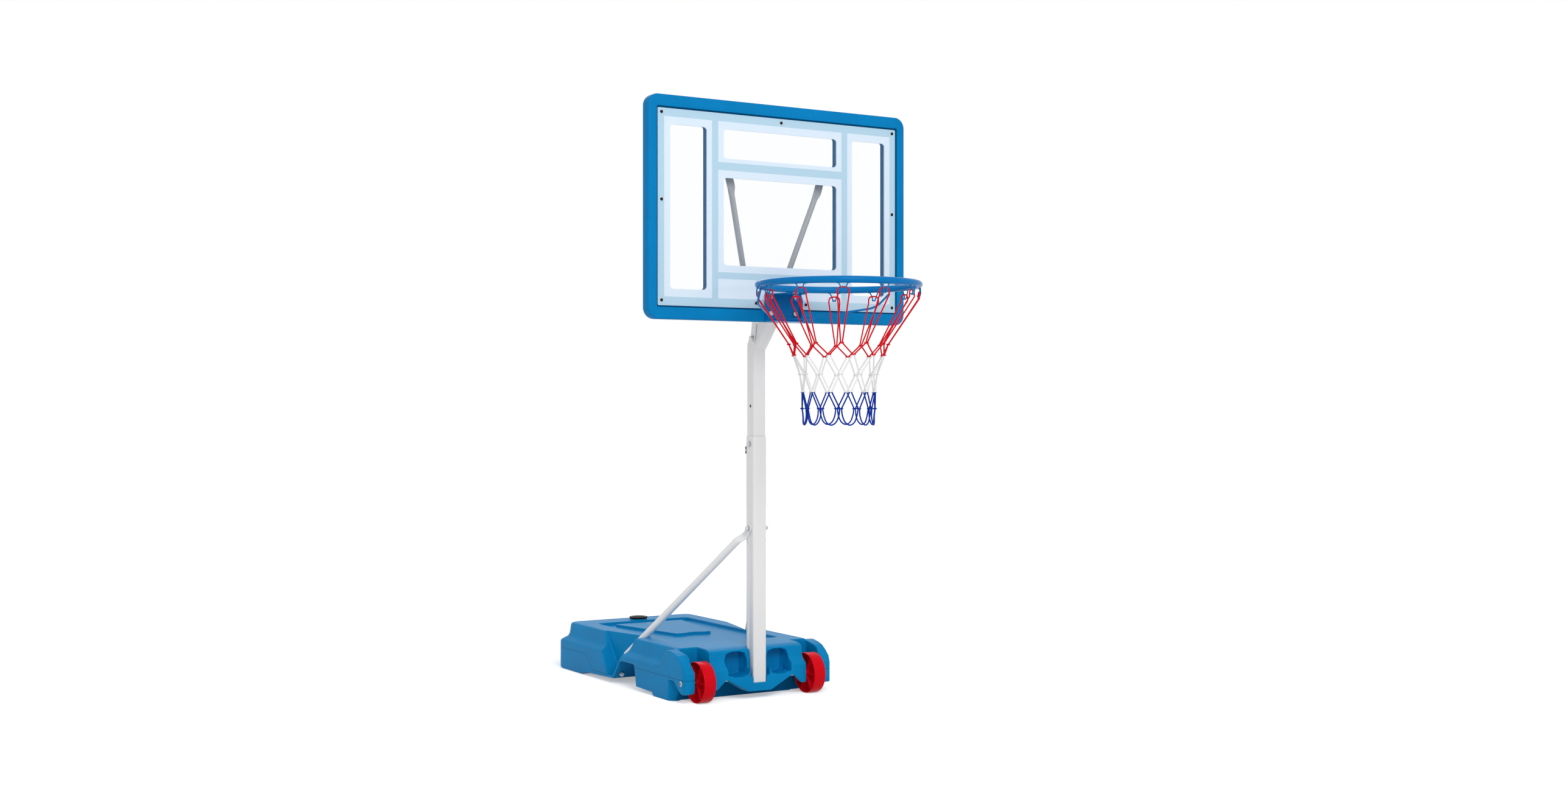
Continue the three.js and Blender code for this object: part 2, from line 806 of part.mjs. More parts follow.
// Square tube that rises from its lower end, folds forward at the elbow and ends upright at the board
function bentPole(width, endGap) {
  const half = width / 2;
  const loop = outline(rectangle(-half, half, -half, half, poleCornerRadius)).getPoints(cornerSteps);
  const section = loop.slice(0, -1);
  const topBack = plateBack + touchGap - endGap;
  const fold = Math.tan(Math.PI / 8);
  const stations = [
    [poleBack, upperPoleBottom - endGap, 1, 0],
    [poleBack, elbowHeight, 1, fold],
    [topBack, elbowHeight + poleBack - topBack, 0, Math.SQRT2],
  ];
  const ring = ([y, z, back, up]) => section.map(
    (point) => new THREE.Vector3(point.x, y + back * point.y, z + up * point.y),
  );
  return loft(stations.map(ring));
}

function makeUpperPole() {
  const holeHeights = [heightBoltHeight, heightBoltHeight + poleHolePitch];
  const holes = holeHeights.map(
    (z) => disc('x', [poleBack, z], poleHoleDiameter, -upperPoleWidth, upperPoleWidth),
  );
  const boltHole = boltDiameter + 2 * shankGap;
  holes.push(disc('x', [elbowBoltBack, elbowBoltHeight], boltHole, -upperPoleWidth, upperPoleWidth));
  return bentPole(upperPoleWidth, 0).subtract(bentPole(upperPoleWidth - 2 * poleWall, overrun)).subtract(
    union(holes),
  );
}

function makeGlidePlug() {
  const fit = upperPoleWidth - 2 * poleWall - 2 * touchGap;
  const flangeTop = upperPoleBottom - touchGap;
  const flangeBottom = flangeTop - overrun;
  const insert = squareTube(fit, flangeBottom, flangeTop + glidePlugHeight);
  const flange = squareTube(upperPoleWidth, flangeBottom, flangeTop);
  const bore = squareTube(fit - 2 * overrun, flangeBottom - overrun, flangeTop + glidePlugHeight + overrun);
  return insert.add(flange).subtract(bore);
}

function makeMountPlate() {
  const half = mountPlateWidth / 2;
  const area = rectangle(
    -half,
    half,
    boardBottomHeight,
    boardBottomHeight + mountPlateHeight,
    poleCornerRadius,
  );
  const plate = prismY(area, boardDepth + touchGap, plateBack);
  return plate.subtract(drilled(rimBoltPlaces, boltDiameter + 2 * shankGap, 0, plateBack + overrun));
}

// Star knob: the seat is at zero, the grip above it and the stud below
function makeKnob() {
  const count = knobLobes * knobLobeSteps;
  const outlinePoints = Array.from({ length: count }, (_, i) => {
    const angle = (2 * Math.PI * i) / count;
    const lobe = knobLobeDepthShare * (Math.cos(knobLobes * angle) - 1);
    const radius = (knobDiameter / 2) * (1 + lobe);
    return new THREE.Vector2(Math.cos(angle), Math.sin(angle)).multiplyScalar(radius);
  });
  const grip = prism('z', new THREE.Shape(outlinePoints), 0, knobDepth);
  const hub = disc('z', [0, 0], knobHubDiameter, 0, knobHubLength);
  const studLength = weldNutHeight + (lowerPoleWidth - upperPoleWidth) / 2;
  return union([grip, hub, disc('z', [0, 0], knobStudDiameter, -studLength, knobDepth / 2)]);
}

// The same ring, started at the point that follows on best from the ring before it
function following(before, ring) {
  const apart = (shift) => before.reduce(
    (sum, point, i) => sum + point.distanceTo(ring[(i + shift) % ring.length]),
    0,
  );
  const shifts = ring.map((_, shift) => shift);
  const best = shifts.reduce((least, shift) => (apart(shift) < apart(least) ? shift : least));
  return [...ring.slice(best), ...ring.slice(0, best)];
}

// Shares of the flat's width at its rounded tip, and of the reach of the tip past the bolt
const tipShares = [
  [0.4, -1],
  [0.84, -0.7],
  [1, 0],
];

// Tube between two bolts, flattened at each end: thin lies along the bolt, along points up the flat
function flatEndedTube(ends, diameter) {
  const starts = ends.map(({ bolt, thin, along, shift }) => bolt
    .clone()
    .addScaledVector(along, flatLength + flatTaper)
    .addScaledVector(thin, shift));
  const direction = starts[1].clone().sub(starts[0]).normalize();
  const flatRings = ({ bolt, thin, along }, turn) => {
    const wide = thin.clone().cross(along).multiplyScalar(turn);
    const at = (share, distance) => {
      const center = bolt.clone().addScaledVector(along, distance);
      return oval(center, wide, thin, (share * flatWidth) / 2, flatThickness / 2);
    };
    return [...tipShares.map(([share, reach]) => at(share, reach * flatTip)), at(1, flatLength)];
  };
  const tubeThin = ends[0].thin.clone().addScaledVector(direction, -ends[0].thin.dot(direction)).normalize();
  const tubeWide = tubeThin.clone().cross(direction);
  const round = starts.map((start) => oval(start, tubeWide, tubeThin, diameter / 2, diameter / 2));
  const rings = [...flatRings(ends[0], 1), ...round];
  for (const ring of flatRings(ends[1], -1).reverse()) rings.push(following(rings.at(-1), ring));
  const inset = direction.clone().multiplyScalar(tubeWall);
  const bore = bar(
    starts[0].clone().add(inset),
    starts[1].clone().sub(inset),
    diameter - 2 * tubeWall,
    smallSides,
  );
  const drainStart = starts[0].clone().addScaledVector(direction, 2 * diameter);
  const drain = bar(
    drainStart,
    drainStart.clone().addScaledVector(ends[0].thin, diameter),
    drainDiameter,
    smallSides,
  );
  const holes = ends.map(({ bolt, thin }) => bar(
    bolt.clone().addScaledVector(thin, -flatThickness),
    bolt.clone().addScaledVector(thin, flatThickness),
    boltDiameter + 2 * shankGap,
  ));
  return loft(rings).subtract(union([bore, drain, ...holes]));
}

// Direction from one point to another, kept square to a bolt's axis
function squareTo(thin, from, to) {
  const along = to.clone().sub(from);
  return along.addScaledVector(thin, -along.dot(thin)).normalize();
}

const footSlope = new THREE.Vector3(
  0,
  notchFrontBottom - notchFrontTop,
  notchBottomHeight - deckHeight,
).normalize();
const footNormal = new THREE.Vector3(0, -footSlope.z, footSlope.y);

// Center of the foot bolt on the notch's sloping front wall
function strutFootPlace(side) {
  const share = (strutFootHeight - deckHeight) / (notchBottomHeight - deckHeight);
  const y = notchFrontTop + share * (notchFrontBottom - notchFrontTop);
  return new THREE.Vector3(side * strutFootOut, y, strutFootHeight);
}

function makeStrut(side) {
  const topThin = new THREE.Vector3(side, 0, 0);
  const topOut = lowerPoleWidth / 2 + touchGap + flatThickness / 2;
  const top = new THREE.Vector3(side * topOut, poleBack, strutTopHeight);
  const foot = strutFootPlace(side).addScaledVector(footNormal, flatThickness / 2 + touchGap);
  return flatEndedTube([
    { bolt: foot, thin: footNormal, along: squareTo(footNormal, foot, top), shift: strutShift },
    { bolt: top, thin: topThin, along: squareTo(topThin, top, foot), shift: strutShift },
  ], strutDiameter);
}

function makeBoardBrace(side) {
  const lowThin = new THREE.Vector3(side, 0, 0);
  const lowOut = upperPoleWidth / 2 + touchGap + flatThickness / 2;
  const low = new THREE.Vector3(side * lowOut, elbowBoltBack, elbowBoltHeight);
  const highThin = new THREE.Vector3(0, 1, 0);
  const highBack = boardDepth + touchGap + flatThickness / 2;
  const high = new THREE.Vector3(side * braceTopOut, highBack, braceTopHeight);
  return flatEndedTube([
    { bolt: low, thin: lowThin, along: squareTo(lowThin, low, high), shift: braceDiameter },
    { bolt: high, thin: highThin, along: squareTo(highThin, high, low), shift: braceDiameter / 2 },
  ], braceDiameter);
}

// Wheel about its own center, turning on X
function makeWheel() {
  const bore = axleDiameter / 2 + shankGap;
  const hub = wheelHubDiameter / 2;
  const tread = wheelDiameter / 2;
  const inside = tread - wheelRimThickness;
  const half = wheelWidth / 2;
  const web = wheelWebThickness / 2;
  const edge = wheelRimThickness / 2;
  const side = [
    [bore, half],
    [hub, half],
    [hub, web],
    [inside - edge, web],
    [inside, half],
    [tread, half],
  ];
  const profile = [...side, ...side.map(([radius, across]) => [radius, -across]).reverse(), side[0]];
  const lathe = new THREE.LatheGeometry(profile.map((point) => new THREE.Vector2(...point)), wheelSegments);
  const turned = solid(lathe.rotateZ(Math.PI / 2));
  const ribs = Array.from({ length: wheelRibs }, (_, i) => {
    const rib = new THREE.BoxGeometry(
      wheelWidth - 2 * wheelRimThickness,
      wheelWebThickness,
      inside - hub + edge,
    );
    rib.translate(0, 0, (inside + hub) / 2);
    return solid(rib.rotateX((2 * Math.PI * (i + 0.5)) / wheelRibs));
  });
  return union([turned, ...ribs]);
}

function makeAxle() {
  const half = tankWidth / 2 + axleTail;
  const rod = disc('x', [axleBack, axleHeight], axleDiameter, -half, half);
  const bore = disc(
    'x',
    [axleBack, axleHeight],
    axleDiameter - 2 * axleWall,
    -half - overrun,
    half + overrun,
  );
  return rod.subtract(bore);
}

function makePushNut() {
  const ring = disc('x', [0, 0], pushNutDiameter, 0, pushNutThickness);
  return ring.subtract(disc('x', [0, 0], axleDiameter + 2 * touchGap, -overrun, overrun));
}

// Base tank: each part of its form can be grown or shrunk by a wall thickness
const collarTop = deckHeight + collarHeight;
const below = -overrun - tankCornerRadius;

// Shares of the shoulder's inset and of its rise from the side ledge to the deck
const shoulderShares = [
  [0.12, -0.03],
  [0.35, 0.06],
  [0.68, 0.18],
  [0.82, 0.36],
  [0.92, 0.84],
  [1, 0.96],
  [1.2, 1],
];

function tankRing(inset, height) {
  const corner = tankCornerRadius;
  const area = rectangle(inset - tankHalf, tankHalf - inset, tankFront + inset, tankRear - inset, corner);
  const points = outline(area).getPoints(cornerSteps + 1).slice(0, -1);
  return points.map((point) => new THREE.Vector3(point.x, point.y, height));
}

function shoulderedBlock(wall) {
  const rise = deckHeight - tierHeight;
  const levels = [
    [tankFootRound, 0],
    [0, tankFootRound],
    [0, tierHeight - tankEdgeRound],
    ...shoulderShares.map(([inset, height]) => [inset * shoulderInset, tierHeight + height * rise]),
  ];
  const inner = (height) => (height > tierHeight / 2 ? height - wall : height + wall);
  return loft(levels.map(([inset, height]) => tankRing(inset + wall, inner(height))));
}

// Side view of the deck and of the front that rolls over between the fenders
const rollSide = [
  [tankRear + overrun, below],
  [tankRear + overrun, deckHeight],
  [tankFront + rollBack, deckHeight, rollRound],
  [tankFront, rollStart, rollRound],
  [tankFront, below],
];

function rolledBlock(wall) {
  const side = outline(grown(rollSide, -wall));
  return shoulderedBlock(wall).intersect(prism('x', side, -tankHalf, tankHalf, { curveSegments: rollSteps }));
}

// Side view of the front fenders, from the ground behind them round over the top
const fenderSide = [
  [fenderRear, 0],
  [fenderRear, tierHeight],
  [fenderRear - fenderBlend, tierHeight, fenderBlend],
  [fenderCrestBack, deckHeight, fenderBlend / 2],
  [fenderSlopeBack + fenderSlopeRun, deckHeight - fenderSlopeDrop / 2, fenderBlend / 2],
  [tankFront, fenderNoseHeight, fenderBlend / 2],
  [tankFront, 0],
];

function fenderBlock(wall) {
  const side = prismX(grown(fenderSide, -wall), wall - tankHalf, tankHalf - wall);
  const plan = rectangle(wall - tankHalf, tankHalf - wall, tankFront + wall, tankRear, fenderCornerRadius);
  return side.intersect(prismZ(plan, wall, deckHeight));
}

const mirrored = (shape) => shape.add(shape.mirror([1, 0, 0]));

function wheelWells(wall) {
  const plan = rectangle(
    wellInner - wall,
    wellOuter + wall,
    tankFront - tankCornerRadius,
    wellRear + wall,
    tankEdgeRound,
  );
  return mirrored(prismZ(plan, below, deckHeight + overrun));
}

// Space in front of the lower wall, less the lobes, skirts and chin that hang down into it
function lowerFront(wall) {
  const space = prismX(grown([
    [tankFront - tankCornerRadius, below],
    [tankFront - tankCornerRadius, lowerWallHeight],
    [lowerWallBack, lowerWallHeight],
    [lowerWallFoot, 0],
    [lowerWallFoot, below],
  ], wall), -tankWidth, tankWidth);
  const cornerCut = mirrored(prismZ(grown([
    [tankHalf + tankCornerRadius, lowerWallBack],
    [tankHalf - tankCornerRadius, lowerWallBack],
    [tankHalf + tankCornerRadius, lowerWallBack + 2 * tankCornerRadius],
  ], wall), below, lowerWallHeight + wall));
  const lobe = prismX(grown([
    [tankFront, lowerWallHeight + overrun],
    [tankFront, lobeBottom, lobeRound],
    [tankFront + lobeNose, lobeBottom, lobeRound],
    [lowerWallBack, lowerWallHeight + overrun],
  ], -wall), wellOuter + wall, tankHalf - wall);
  const skirt = prismX(
    rectangle(tankFront, skirtRear, skirtBottom, lowerWallHeight + overrun),
    lipHalfWidth,
    wellInner,
  );
  const skirtSlope = prismY([
    [lipHalfWidth, lowerWallHeight + overrun],
    [wellInner, lowerWallHeight + overrun],
    [wellInner, skirtBottom],
    [skirtHalfWidth, skirtBottom],
    [lipHalfWidth + tankEdgeRound, lowerWallHeight],
  ], tankFront, skirtRear);
  const chin = prismY([
    [-lipHalfWidth, lipHeight],
    [lipHalfWidth, lipHeight],
    [lipHalfWidth, lowerWallHeight],
    [chinHalfWidth, chinBottom],
    [-chinHalfWidth, chinBottom],
    [-lipHalfWidth, lowerWallHeight],
  ], tankFront, chinRear);
  const thin = wall > 0 ? [] : [mirrored(skirt.intersect(skirtSlope)), chin];
  return space.add(cornerCut).subtract(union([mirrored(lobe), ...thin]));
}

function strutNotches(wall) {
  const side = prismX(grown([
    [notchFrontTop, deckHeight],
    [notchFrontBottom, notchBottomHeight, tankEdgeRound],
    [notchRearBottom, notchBottomHeight, tankEdgeRound],
    [notchRearTop, deckHeight],
    [notchRearTop + deckHeight / 2, 2 * deckHeight],
    [notchFrontTop - deckHeight, 2 * deckHeight],
  ], wall), 0, tankWidth);
  const plan = prismZ(grown([
    [tankWidth, notchFrontTop - tankCornerRadius],
    [notchFrontOut, notchFrontTop - tankCornerRadius],
    [notchMiddleOut, (notchFrontTop + notchFrontBottom) / 2],
    [notchRearOut, notchRearTop],
    [notchRearOut, tankRear],
    [tankWidth, tankRear],
  ], wall), below, 2 * deckHeight);
  return mirrored(side.intersect(plan));
}

// Arch behind the front foot, with the thin web between it and the strut notch
function archSpaces(wall) {
  const webShift = webThickness / Math.cos(
    Math.atan2(notchFrontBottom - notchFrontTop, deckHeight - notchBottomHeight),
  );
  const slope = (notchFrontBottom - notchFrontTop) / (deckHeight - notchBottomHeight);
  const rearAt = (height) => notchFrontTop + slope * (deckHeight - height) - webShift;
  const side = grown([
    [archFrontBottom, below],
    [archFrontTop, archTopHeight, tankEdgeRound],
    [rearAt(archTopHeight), archTopHeight, tankEdgeRound],
    [rearAt(webBottom), webBottom],
    [rearAt(webBottom), below],
  ], wall);
  return mirrored(prismX(side, tankHalf - archDepth - wall, tankWidth));
}

function groundRelief(wall) {
  return prismX(grown([
    [frontFootRear, below],
    [frontFootRear, footRise],
    [notchFrontBottom, webBottom],
    [rearFootFront - rearFootRamp, footRise],
    [rearFootFront, 0],
    [rearFootFront, below],
  ], wall), -tankWidth, tankWidth);
}

function trayAndPad(wall) {
  const floor = deckHeight - trayDepth;
  const tray = rectangle(-trayHalfWidth, trayHalfWidth, trayFront, trayRear, trayCornerRadius);
  const padHalf = [
    [padRearHalfWidth, padRear, tankEdgeRound],
    [padFrontHalfWidth, padFront, tankEdgeRound],
    [padFrontHalfWidth / 2, padFront, tankEdgeRound],
    [padFrontHalfWidth / 4, padFront + padNotchDepth, tankEdgeRound],
  ];
  const pad = [...padHalf, ...flipped(padHalf).reverse()];
  const space = prismZ(grown(tray, wall), floor - wall, deckHeight + overrun);
  return space.subtract(prismZ(grown(pad, -wall), floor - overrun - wall, floor + padHeight - wall));
}

// Pole pocket with a scoop on each side of it, open at the front above the lip
function frontPockets(wall) {
  const half = lowerPoleWidth / 2 + touchGap + wall;
  const rear = poleBack + half;
  const slot = prismZ(
    rectangle(-half, half, tankFront - tankCornerRadius, rear),
    poleSeatHeight - wall,
    deckHeight + overrun,
  );
  const notch = prismZ(
    rectangle(
      -half - tankEdgeRound,
      half + tankEdgeRound,
      tankFront - tankCornerRadius,
      poleCheekBack + wall,
    ),
    lipHeight - tankEdgeRound - wall,
    deckHeight + overrun,
  );
  const cheeks = prismZ(
    rectangle(-scoopInner - wall, scoopInner + wall, tankFront - tankCornerRadius, poleCheekBack + wall),
    scoopFloor - wall,
    deckHeight + overrun,
  );
  const arch = prismY(
    rectangle(scoopInner - wall, lipHalfWidth + wall, scoopFloor - wall, scoopTop + wall, scoopRound),
    tankFront - tankCornerRadius,
    scoopRear + wall,
  );
  const plan = prismZ(
    rectangle(scoopInner - wall, lipHalfWidth + wall, -scoopRear, scoopRear + wall, scoopRound),
    below,
    2 * deckHeight,
  );
  return union([slot, notch, cheeks, mirrored(arch.intersect(plan))]);
}

function tankForm(wall) {
  const block = rolledBlock(wall).add(fenderBlock(wall));
  const cuts = [wheelWells, lowerFront, strutNotches, archSpaces, groundRelief, trayAndPad, frontPockets];
  return block.subtract(union(cuts.map((cut) => cut(wall))));
}

function makeBaseTank() {
  const axlePlace = [axleBack, axleHeight];
  const axleHoleDiameter = axleDiameter + 2 * shankGap;
  const axleHole = disc('x', axlePlace, axleHoleDiameter, -tankWidth, tankWidth);
  const axleTunnel = disc('x', axlePlace, axleHoleDiameter + 2 * tankWall, -tankWidth, tankWidth);
  const spaces = tankForm(tankWall).subtract(axleTunnel).decompose();
  const hollow = spaces.reduce((most, part) => (part.volume() > most.volume() ? part : most));
  const collar = disc('z', [0, fillBack], sealDiameter, deckHeight - tankWall / 2, collarTop, 2 * roundSides);
  const neck = disc(
    'z',
    [0, fillBack],
    fillDiameter,
    deckHeight - 2 * tankWall,
    collarTop + overrun,
    2 * roundSides,
  );
  const footBolts = sideNames.map(([side]) => {
    const center = strutFootPlace(side);
    const reach = (distance) => center.clone().addScaledVector(footNormal, distance);
    return bar(reach(-2 * webThickness), reach(webThickness), boltDiameter + 2 * shankGap);
  });
  return tankForm(0).add(collar).subtract(union([hollow, neck, axleHole, ...footBolts]));
}

// Fill cap: a threaded cup with a dished top and a grip bar, about its own seat
function makeFillCap() {
  const skirtDiameter = fillDiameter - 2 * shankGap;
  const flange = disc('z', [0, 0], capDiameter, 0, capThickness, 2 * roundSides);
  const skirt = disc('z', [0, 0], skirtDiameter, -capSkirtLength, capThickness / 2, 2 * roundSides);
  const dish = disc(
    'z',
    [0, 0],
    capDishDiameter,
    capThickness - capDishDepth,
    capThickness + overrun,
    2 * roundSides,
  );
  const under = disc(
    'z',
    [0, 0],
    skirtDiameter - 2 * capSkirtWall,
    -capSkirtLength - overrun,
    capThickness - capDishDepth - capSkirtWall,
    2 * roundSides,
  );
  const grip = boxBetween(
    [-capDishDiameter / 2 - touchGap, -capGripThickness / 2, capThickness - capDishDepth],
    [capDishDiameter / 2 + touchGap, capGripThickness / 2, capThickness],
  );
  return flange.add(skirt).subtract(dish).subtract(under).add(grip);
}

function makeCapSeal() {
  const ring = disc('z', [0, 0], sealDiameter, 0, sealThickness, 2 * roundSides);
  return ring.subtract(disc('z', [0, 0], fillDiameter, -overrun, sealThickness + overrun, 2 * roundSides));
}

// Assembly
const vector = (x, y, z) => new THREE.Vector3(x, y, z);
const boltStack = hexNutHeight + boltTail;

function boltAndNut(name, seat, head, grip, numbers = '', washerHeight = washerThickness) {
  const boltPiece = pointed(
    piece(`${name}_bolt${numbers}`, hexBolt(grip + boltStack, washerHeight), zincSteel),
    head,
  );
  boltPiece.position.copy(seat);
  const nutPiece = pointed(piece(`${name}_nut${numbers}`, hexNut(), zincSteel), head.clone().negate());
  nutPiece.position.copy(seat.clone().addScaledVector(head, -grip));
  return [boltPiece, nutPiece];
}

function makeBase() {
  const base = new THREE.Group();
  base.add(piece('base_tank', makeBaseTank(), tankBlue));
  base.add(piece('lower_pole', makeLowerPole(), poleWhite));
  base.add(piece('axle_rod', makeAxle(), zincSteel));
  const strutGrip = lowerPoleWidth + 4 * touchGap + 2 * flatThickness + 2 * touchGap;
  const strutSeat = vector(-strutGrip / 2, poleBack, strutTopHeight);
  base.add(...boltAndNut('strut_top', strutSeat, vector(-1, 0, 0), strutGrip));
  const heightBolt = hexBolt((lowerPoleWidth - upperPoleWidth) / 2, washerThickness);
  const boltPiece = piece('height_bolt', heightBolt, zincSteel);
  boltPiece.position.set(-lowerPoleWidth / 2 - touchGap, poleBack, heightBoltHeight);
  base.add(pointed(boltPiece, vector(-1, 0, 0)));
  for (const [side, name] of sideNames) {
    base.add(piece(`strut_${name}`, makeStrut(side), poleWhite));
    const footGrip = webThickness + flatThickness + 3 * touchGap;
    const seat = strutFootPlace(side).addScaledVector(footNormal, flatThickness + 2 * touchGap);
    base.add(...boltAndNut('strut_foot', seat, footNormal, footGrip, `_${name}`));
    const pushNut = piece(`axle_push_nut_${name}`, makePushNut(), zincSteel);
    pushNut.position.set(side * (tankHalf + touchGap), axleBack, axleHeight);
    pushNut.rotation.z = side > 0 ? 0 : Math.PI;
    base.add(pushNut);
    const wheel = piece(`wheel_${name}`, makeWheel(), wheelRed);
    wheel.position.set(side * wheelCenterOut, axleBack, axleHeight);
    base.add(wheel);
  }
  const knob = piece('clamp_knob', makeKnob(), knobBlack);
  knob.position.set(0, poleBack + lowerPoleWidth / 2 + weldNutHeight + touchGap, knobHeight);
  base.add(pointed(knob, vector(0, 1, 0)));
  base.add(piece('cap_seal', makeCapSeal(), knobBlack, [0, fillBack, collarTop + touchGap]));
  base.add(
    piece('fill_cap', makeFillCap(), knobBlack, [0, fillBack, collarTop + sealThickness + 2 * touchGap]),
  );
  return base;
}

function makeHead() {
  const head = new THREE.Group();
  head.add(piece('upper_pole', makeUpperPole(), poleWhite));
  head.add(piece('pole_glide_plug', makeGlidePlug(), knobBlack));
  head.add(piece('board_mount_plate', makeMountPlate(), poleWhite));
  head.add(piece('backboard_frame', makeBackboardFrame(), boardBlue));
  head.add(piece('clear_panel', makeClearPanel(), clearSheet));
  screwPlaces().forEach(([x, z], i) => {
    const screw = piece(
      `panel_screw_${i + 1}`,
      roundScrew(screwLength),
      knobBlack,
      [x, panelRecess - touchGap, z],
    );
    head.add(pointed(screw, vector(0, -1, 0)));
  });
  const braceGrip = upperPoleWidth + 4 * touchGap + 2 * flatThickness + 2 * touchGap;
  const braceSeat = vector(-braceGrip / 2, elbowBoltBack, elbowBoltHeight);
  head.add(...boltAndNut('elbow', braceSeat, vector(-1, 0, 0), braceGrip));
  for (const [side, name] of sideNames) {
    head.add(piece(`board_brace_${name}`, makeBoardBrace(side), poleWhite));
    const screwBack = boardDepth + flatThickness + 2 * touchGap;
    const screw = piece(`brace_screw_${name}`, roundScrew(screwLength + flatThickness), zincSteel);
    screw.position.set(side * braceTopOut, screwBack, braceTopHeight);
    head.add(pointed(screw, vector(0, 1, 0)));
  }
  head.add(piece('rim_ring', makeRimRing(), rimBlue, [0, -ringReach, rimHeight]));
  head.add(piece('rim_bracket', makeRimBracket(), rimBlue));
  head.add(piece('rim_brace_rod', makeBraceRod(), rimBlue));
  const rimGrip = bracketThickness + touchGap + plateBack + 2 * touchGap;
  rimBoltPlaces.forEach(([x, z], i) => {
    const seat = vector(x, -bracketThickness - 2 * touchGap, z);
    head.add(...boltAndNut('rim', seat, vector(0, -1, 0), rimGrip, `_${i + 1}`, 0));
  });
  head.add(piece('net', makeNet(), cordRed, [0, -ringReach, rimHeight]));
  return head;
}

const hoop = new THREE.Group();
hoop.position.y = -partMiddle;
hoop.add(makeBase(), makeHead());

export default hoop;
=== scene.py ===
import json
import math

import bmesh
import bpy
from mathutils import Matrix, Vector


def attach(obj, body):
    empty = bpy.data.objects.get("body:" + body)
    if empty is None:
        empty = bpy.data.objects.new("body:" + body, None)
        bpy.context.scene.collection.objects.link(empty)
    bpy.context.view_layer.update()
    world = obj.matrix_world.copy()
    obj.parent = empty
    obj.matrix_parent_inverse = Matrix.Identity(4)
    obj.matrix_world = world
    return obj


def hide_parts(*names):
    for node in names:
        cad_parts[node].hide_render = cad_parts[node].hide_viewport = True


bl_info = {
    "name": "Poolside basketball hoop",
    "version": (1, 0, 0),
    "blender": (4, 5, 0),
    "location": "View3D > Sidebar > Hoop",
    "description": "Dresses the packed model of a poolside basketball hoop in its finished surfaces",
    "category": "Object",
}

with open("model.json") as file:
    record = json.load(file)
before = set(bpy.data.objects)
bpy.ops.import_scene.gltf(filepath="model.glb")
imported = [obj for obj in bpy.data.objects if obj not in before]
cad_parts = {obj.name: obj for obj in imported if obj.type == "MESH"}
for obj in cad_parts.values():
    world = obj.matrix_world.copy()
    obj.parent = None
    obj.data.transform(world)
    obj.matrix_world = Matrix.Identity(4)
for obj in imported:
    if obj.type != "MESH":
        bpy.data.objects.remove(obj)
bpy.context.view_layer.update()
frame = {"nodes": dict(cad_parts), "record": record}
NODES = frame["nodes"]

# Sizes are in millimetres, and y runs back from the board's front face
MM = 0.001
ALL_ROUND = 2 * math.pi
MIDDLE = 226.25  # the board's front face lies this far in front of the model's middle
SIDES = ((-1, "left"), (1, "right"))

RING_BACK, RING_HEIGHT, RING_RADIUS, RING_TUBE = -281, 1124, 207.5, 9
HOOKS = 12
HOOK_TURN = ALL_ROUND / HOOKS

# Net: how far each row of knots hangs below the ring's middle, and its radius
ROW_DROPS = (153.7, 182.3, 231, 276.4, 319.4)
ROW_RADII = (128.4, 119.5, 100, 96.2, 94.1)
TAIL_DROP, TAIL_RADIUS = 361, 92
RED_DROP, WHITE_DROP = 184, 277.5  # where a colour gives way to the next one down

# Board: rounded rectangles as (width, height, radius, middle)
BOARD_MIDDLE = 1333
BOARD = (813, 588, 30, (0, BOARD_MIDDLE))
RECESS = (763, 526, 5, (0, BOARD_MIDDLE))
PANEL = (754, 517, 3, (0, BOARD_MIDDLE))
WINDOWS = (
    (109, 431, 10, (-285.5, 1334.5)),
    (109, 431, 10, (285.5, 1334.5)),
    (358, 78, 10, (0, 1511)),
    (358, 233, 10, (0, 1303.5)),
)
# The frame's openings reach a little higher than the panel's clear windows
OPENINGS = [(width, height + 5, radius, (x, z + 2.5)) for width, height, radius, (x, z) in WINDOWS]
# Printed stripes of the right half: from and to across, then from and to in height
STRIPES = (
    ((358, 380), (1070, 1596)),
    ((-1, 380), (1570, 1596)),
    ((-1, 380), (1070, 1098)),
    ((196, 215), (1098, 1570)),
    ((-1, 215), (1440, 1461)),
    ((-1, 215), (1150, 1168)),
)
BOARD_DEPTH, PANEL_FACES, PANEL_SEAT, FRAME_WALL = 35, (4, 7), 7.3, 3.5
SCREWS = [(side * 366, z) for z in (1580.5, 1352.0, 1088.5) for side in (-1, 1)]
SCREWS += [(0, 1580.5), (-79, 1088.5), (79, 1088.5)]
RIM_BOLTS = [(side * 38.6, z) for z in (1062, 1107) for side in (-1, 1)]
PLATE = (110, 82, 3, (0, 1080))
BRACE_TOPS = [(side * 150, 1446) for side in (-1, 1)]

# Poles, struts, wheels and tank
POLE_BACK = 138
LOWER_POLE, UPPER_POLE, POLE_WALL = 42, 38, 1.2
BEND_HEIGHT, KNOB_HEIGHT = 975, 688
ELBOW, STRUT_TOP = (119, 999), (POLE_BACK, 471)
LOWER_POLE_ENDS, UPPER_POLE_END, PLATE_FACE = (45.3, 727), 585, 39.6
HOLE_HEIGHTS = (811, 706)
AXLE, AXLE_OUT, WHEEL_OUT, PUSH_NUT_OUT = (0, POLE_BACK, 56.5), 240, 176, 236.3
STRUT_OUT, BRACE_OUT = 23.3, 21.3  # the flats beside the pole, out from the middle
FOOT_SLOPE = Vector((0, 103, -121)).normalized()
FOOT_NORMAL = Vector((0, -FOOT_SLOPE.z, FOOT_SLOPE.y))
CAP_BACK, CAP_SEAT = 864, 148.6


def linear(code):
    """Turns an sRGB hex colour into linear red, green, blue."""
    shares = [int(code[i : i + 2], 16) / 255 for i in (1, 3, 5)]
    return tuple(c / 12.92 if c <= 0.04045 else ((c + 0.055) / 1.055) ** 2.4 for c in shares)


def spot(x, y, z):
    """A place in metres about the model's middle."""
    return Vector((x, y - MIDDLE, z)) * MM


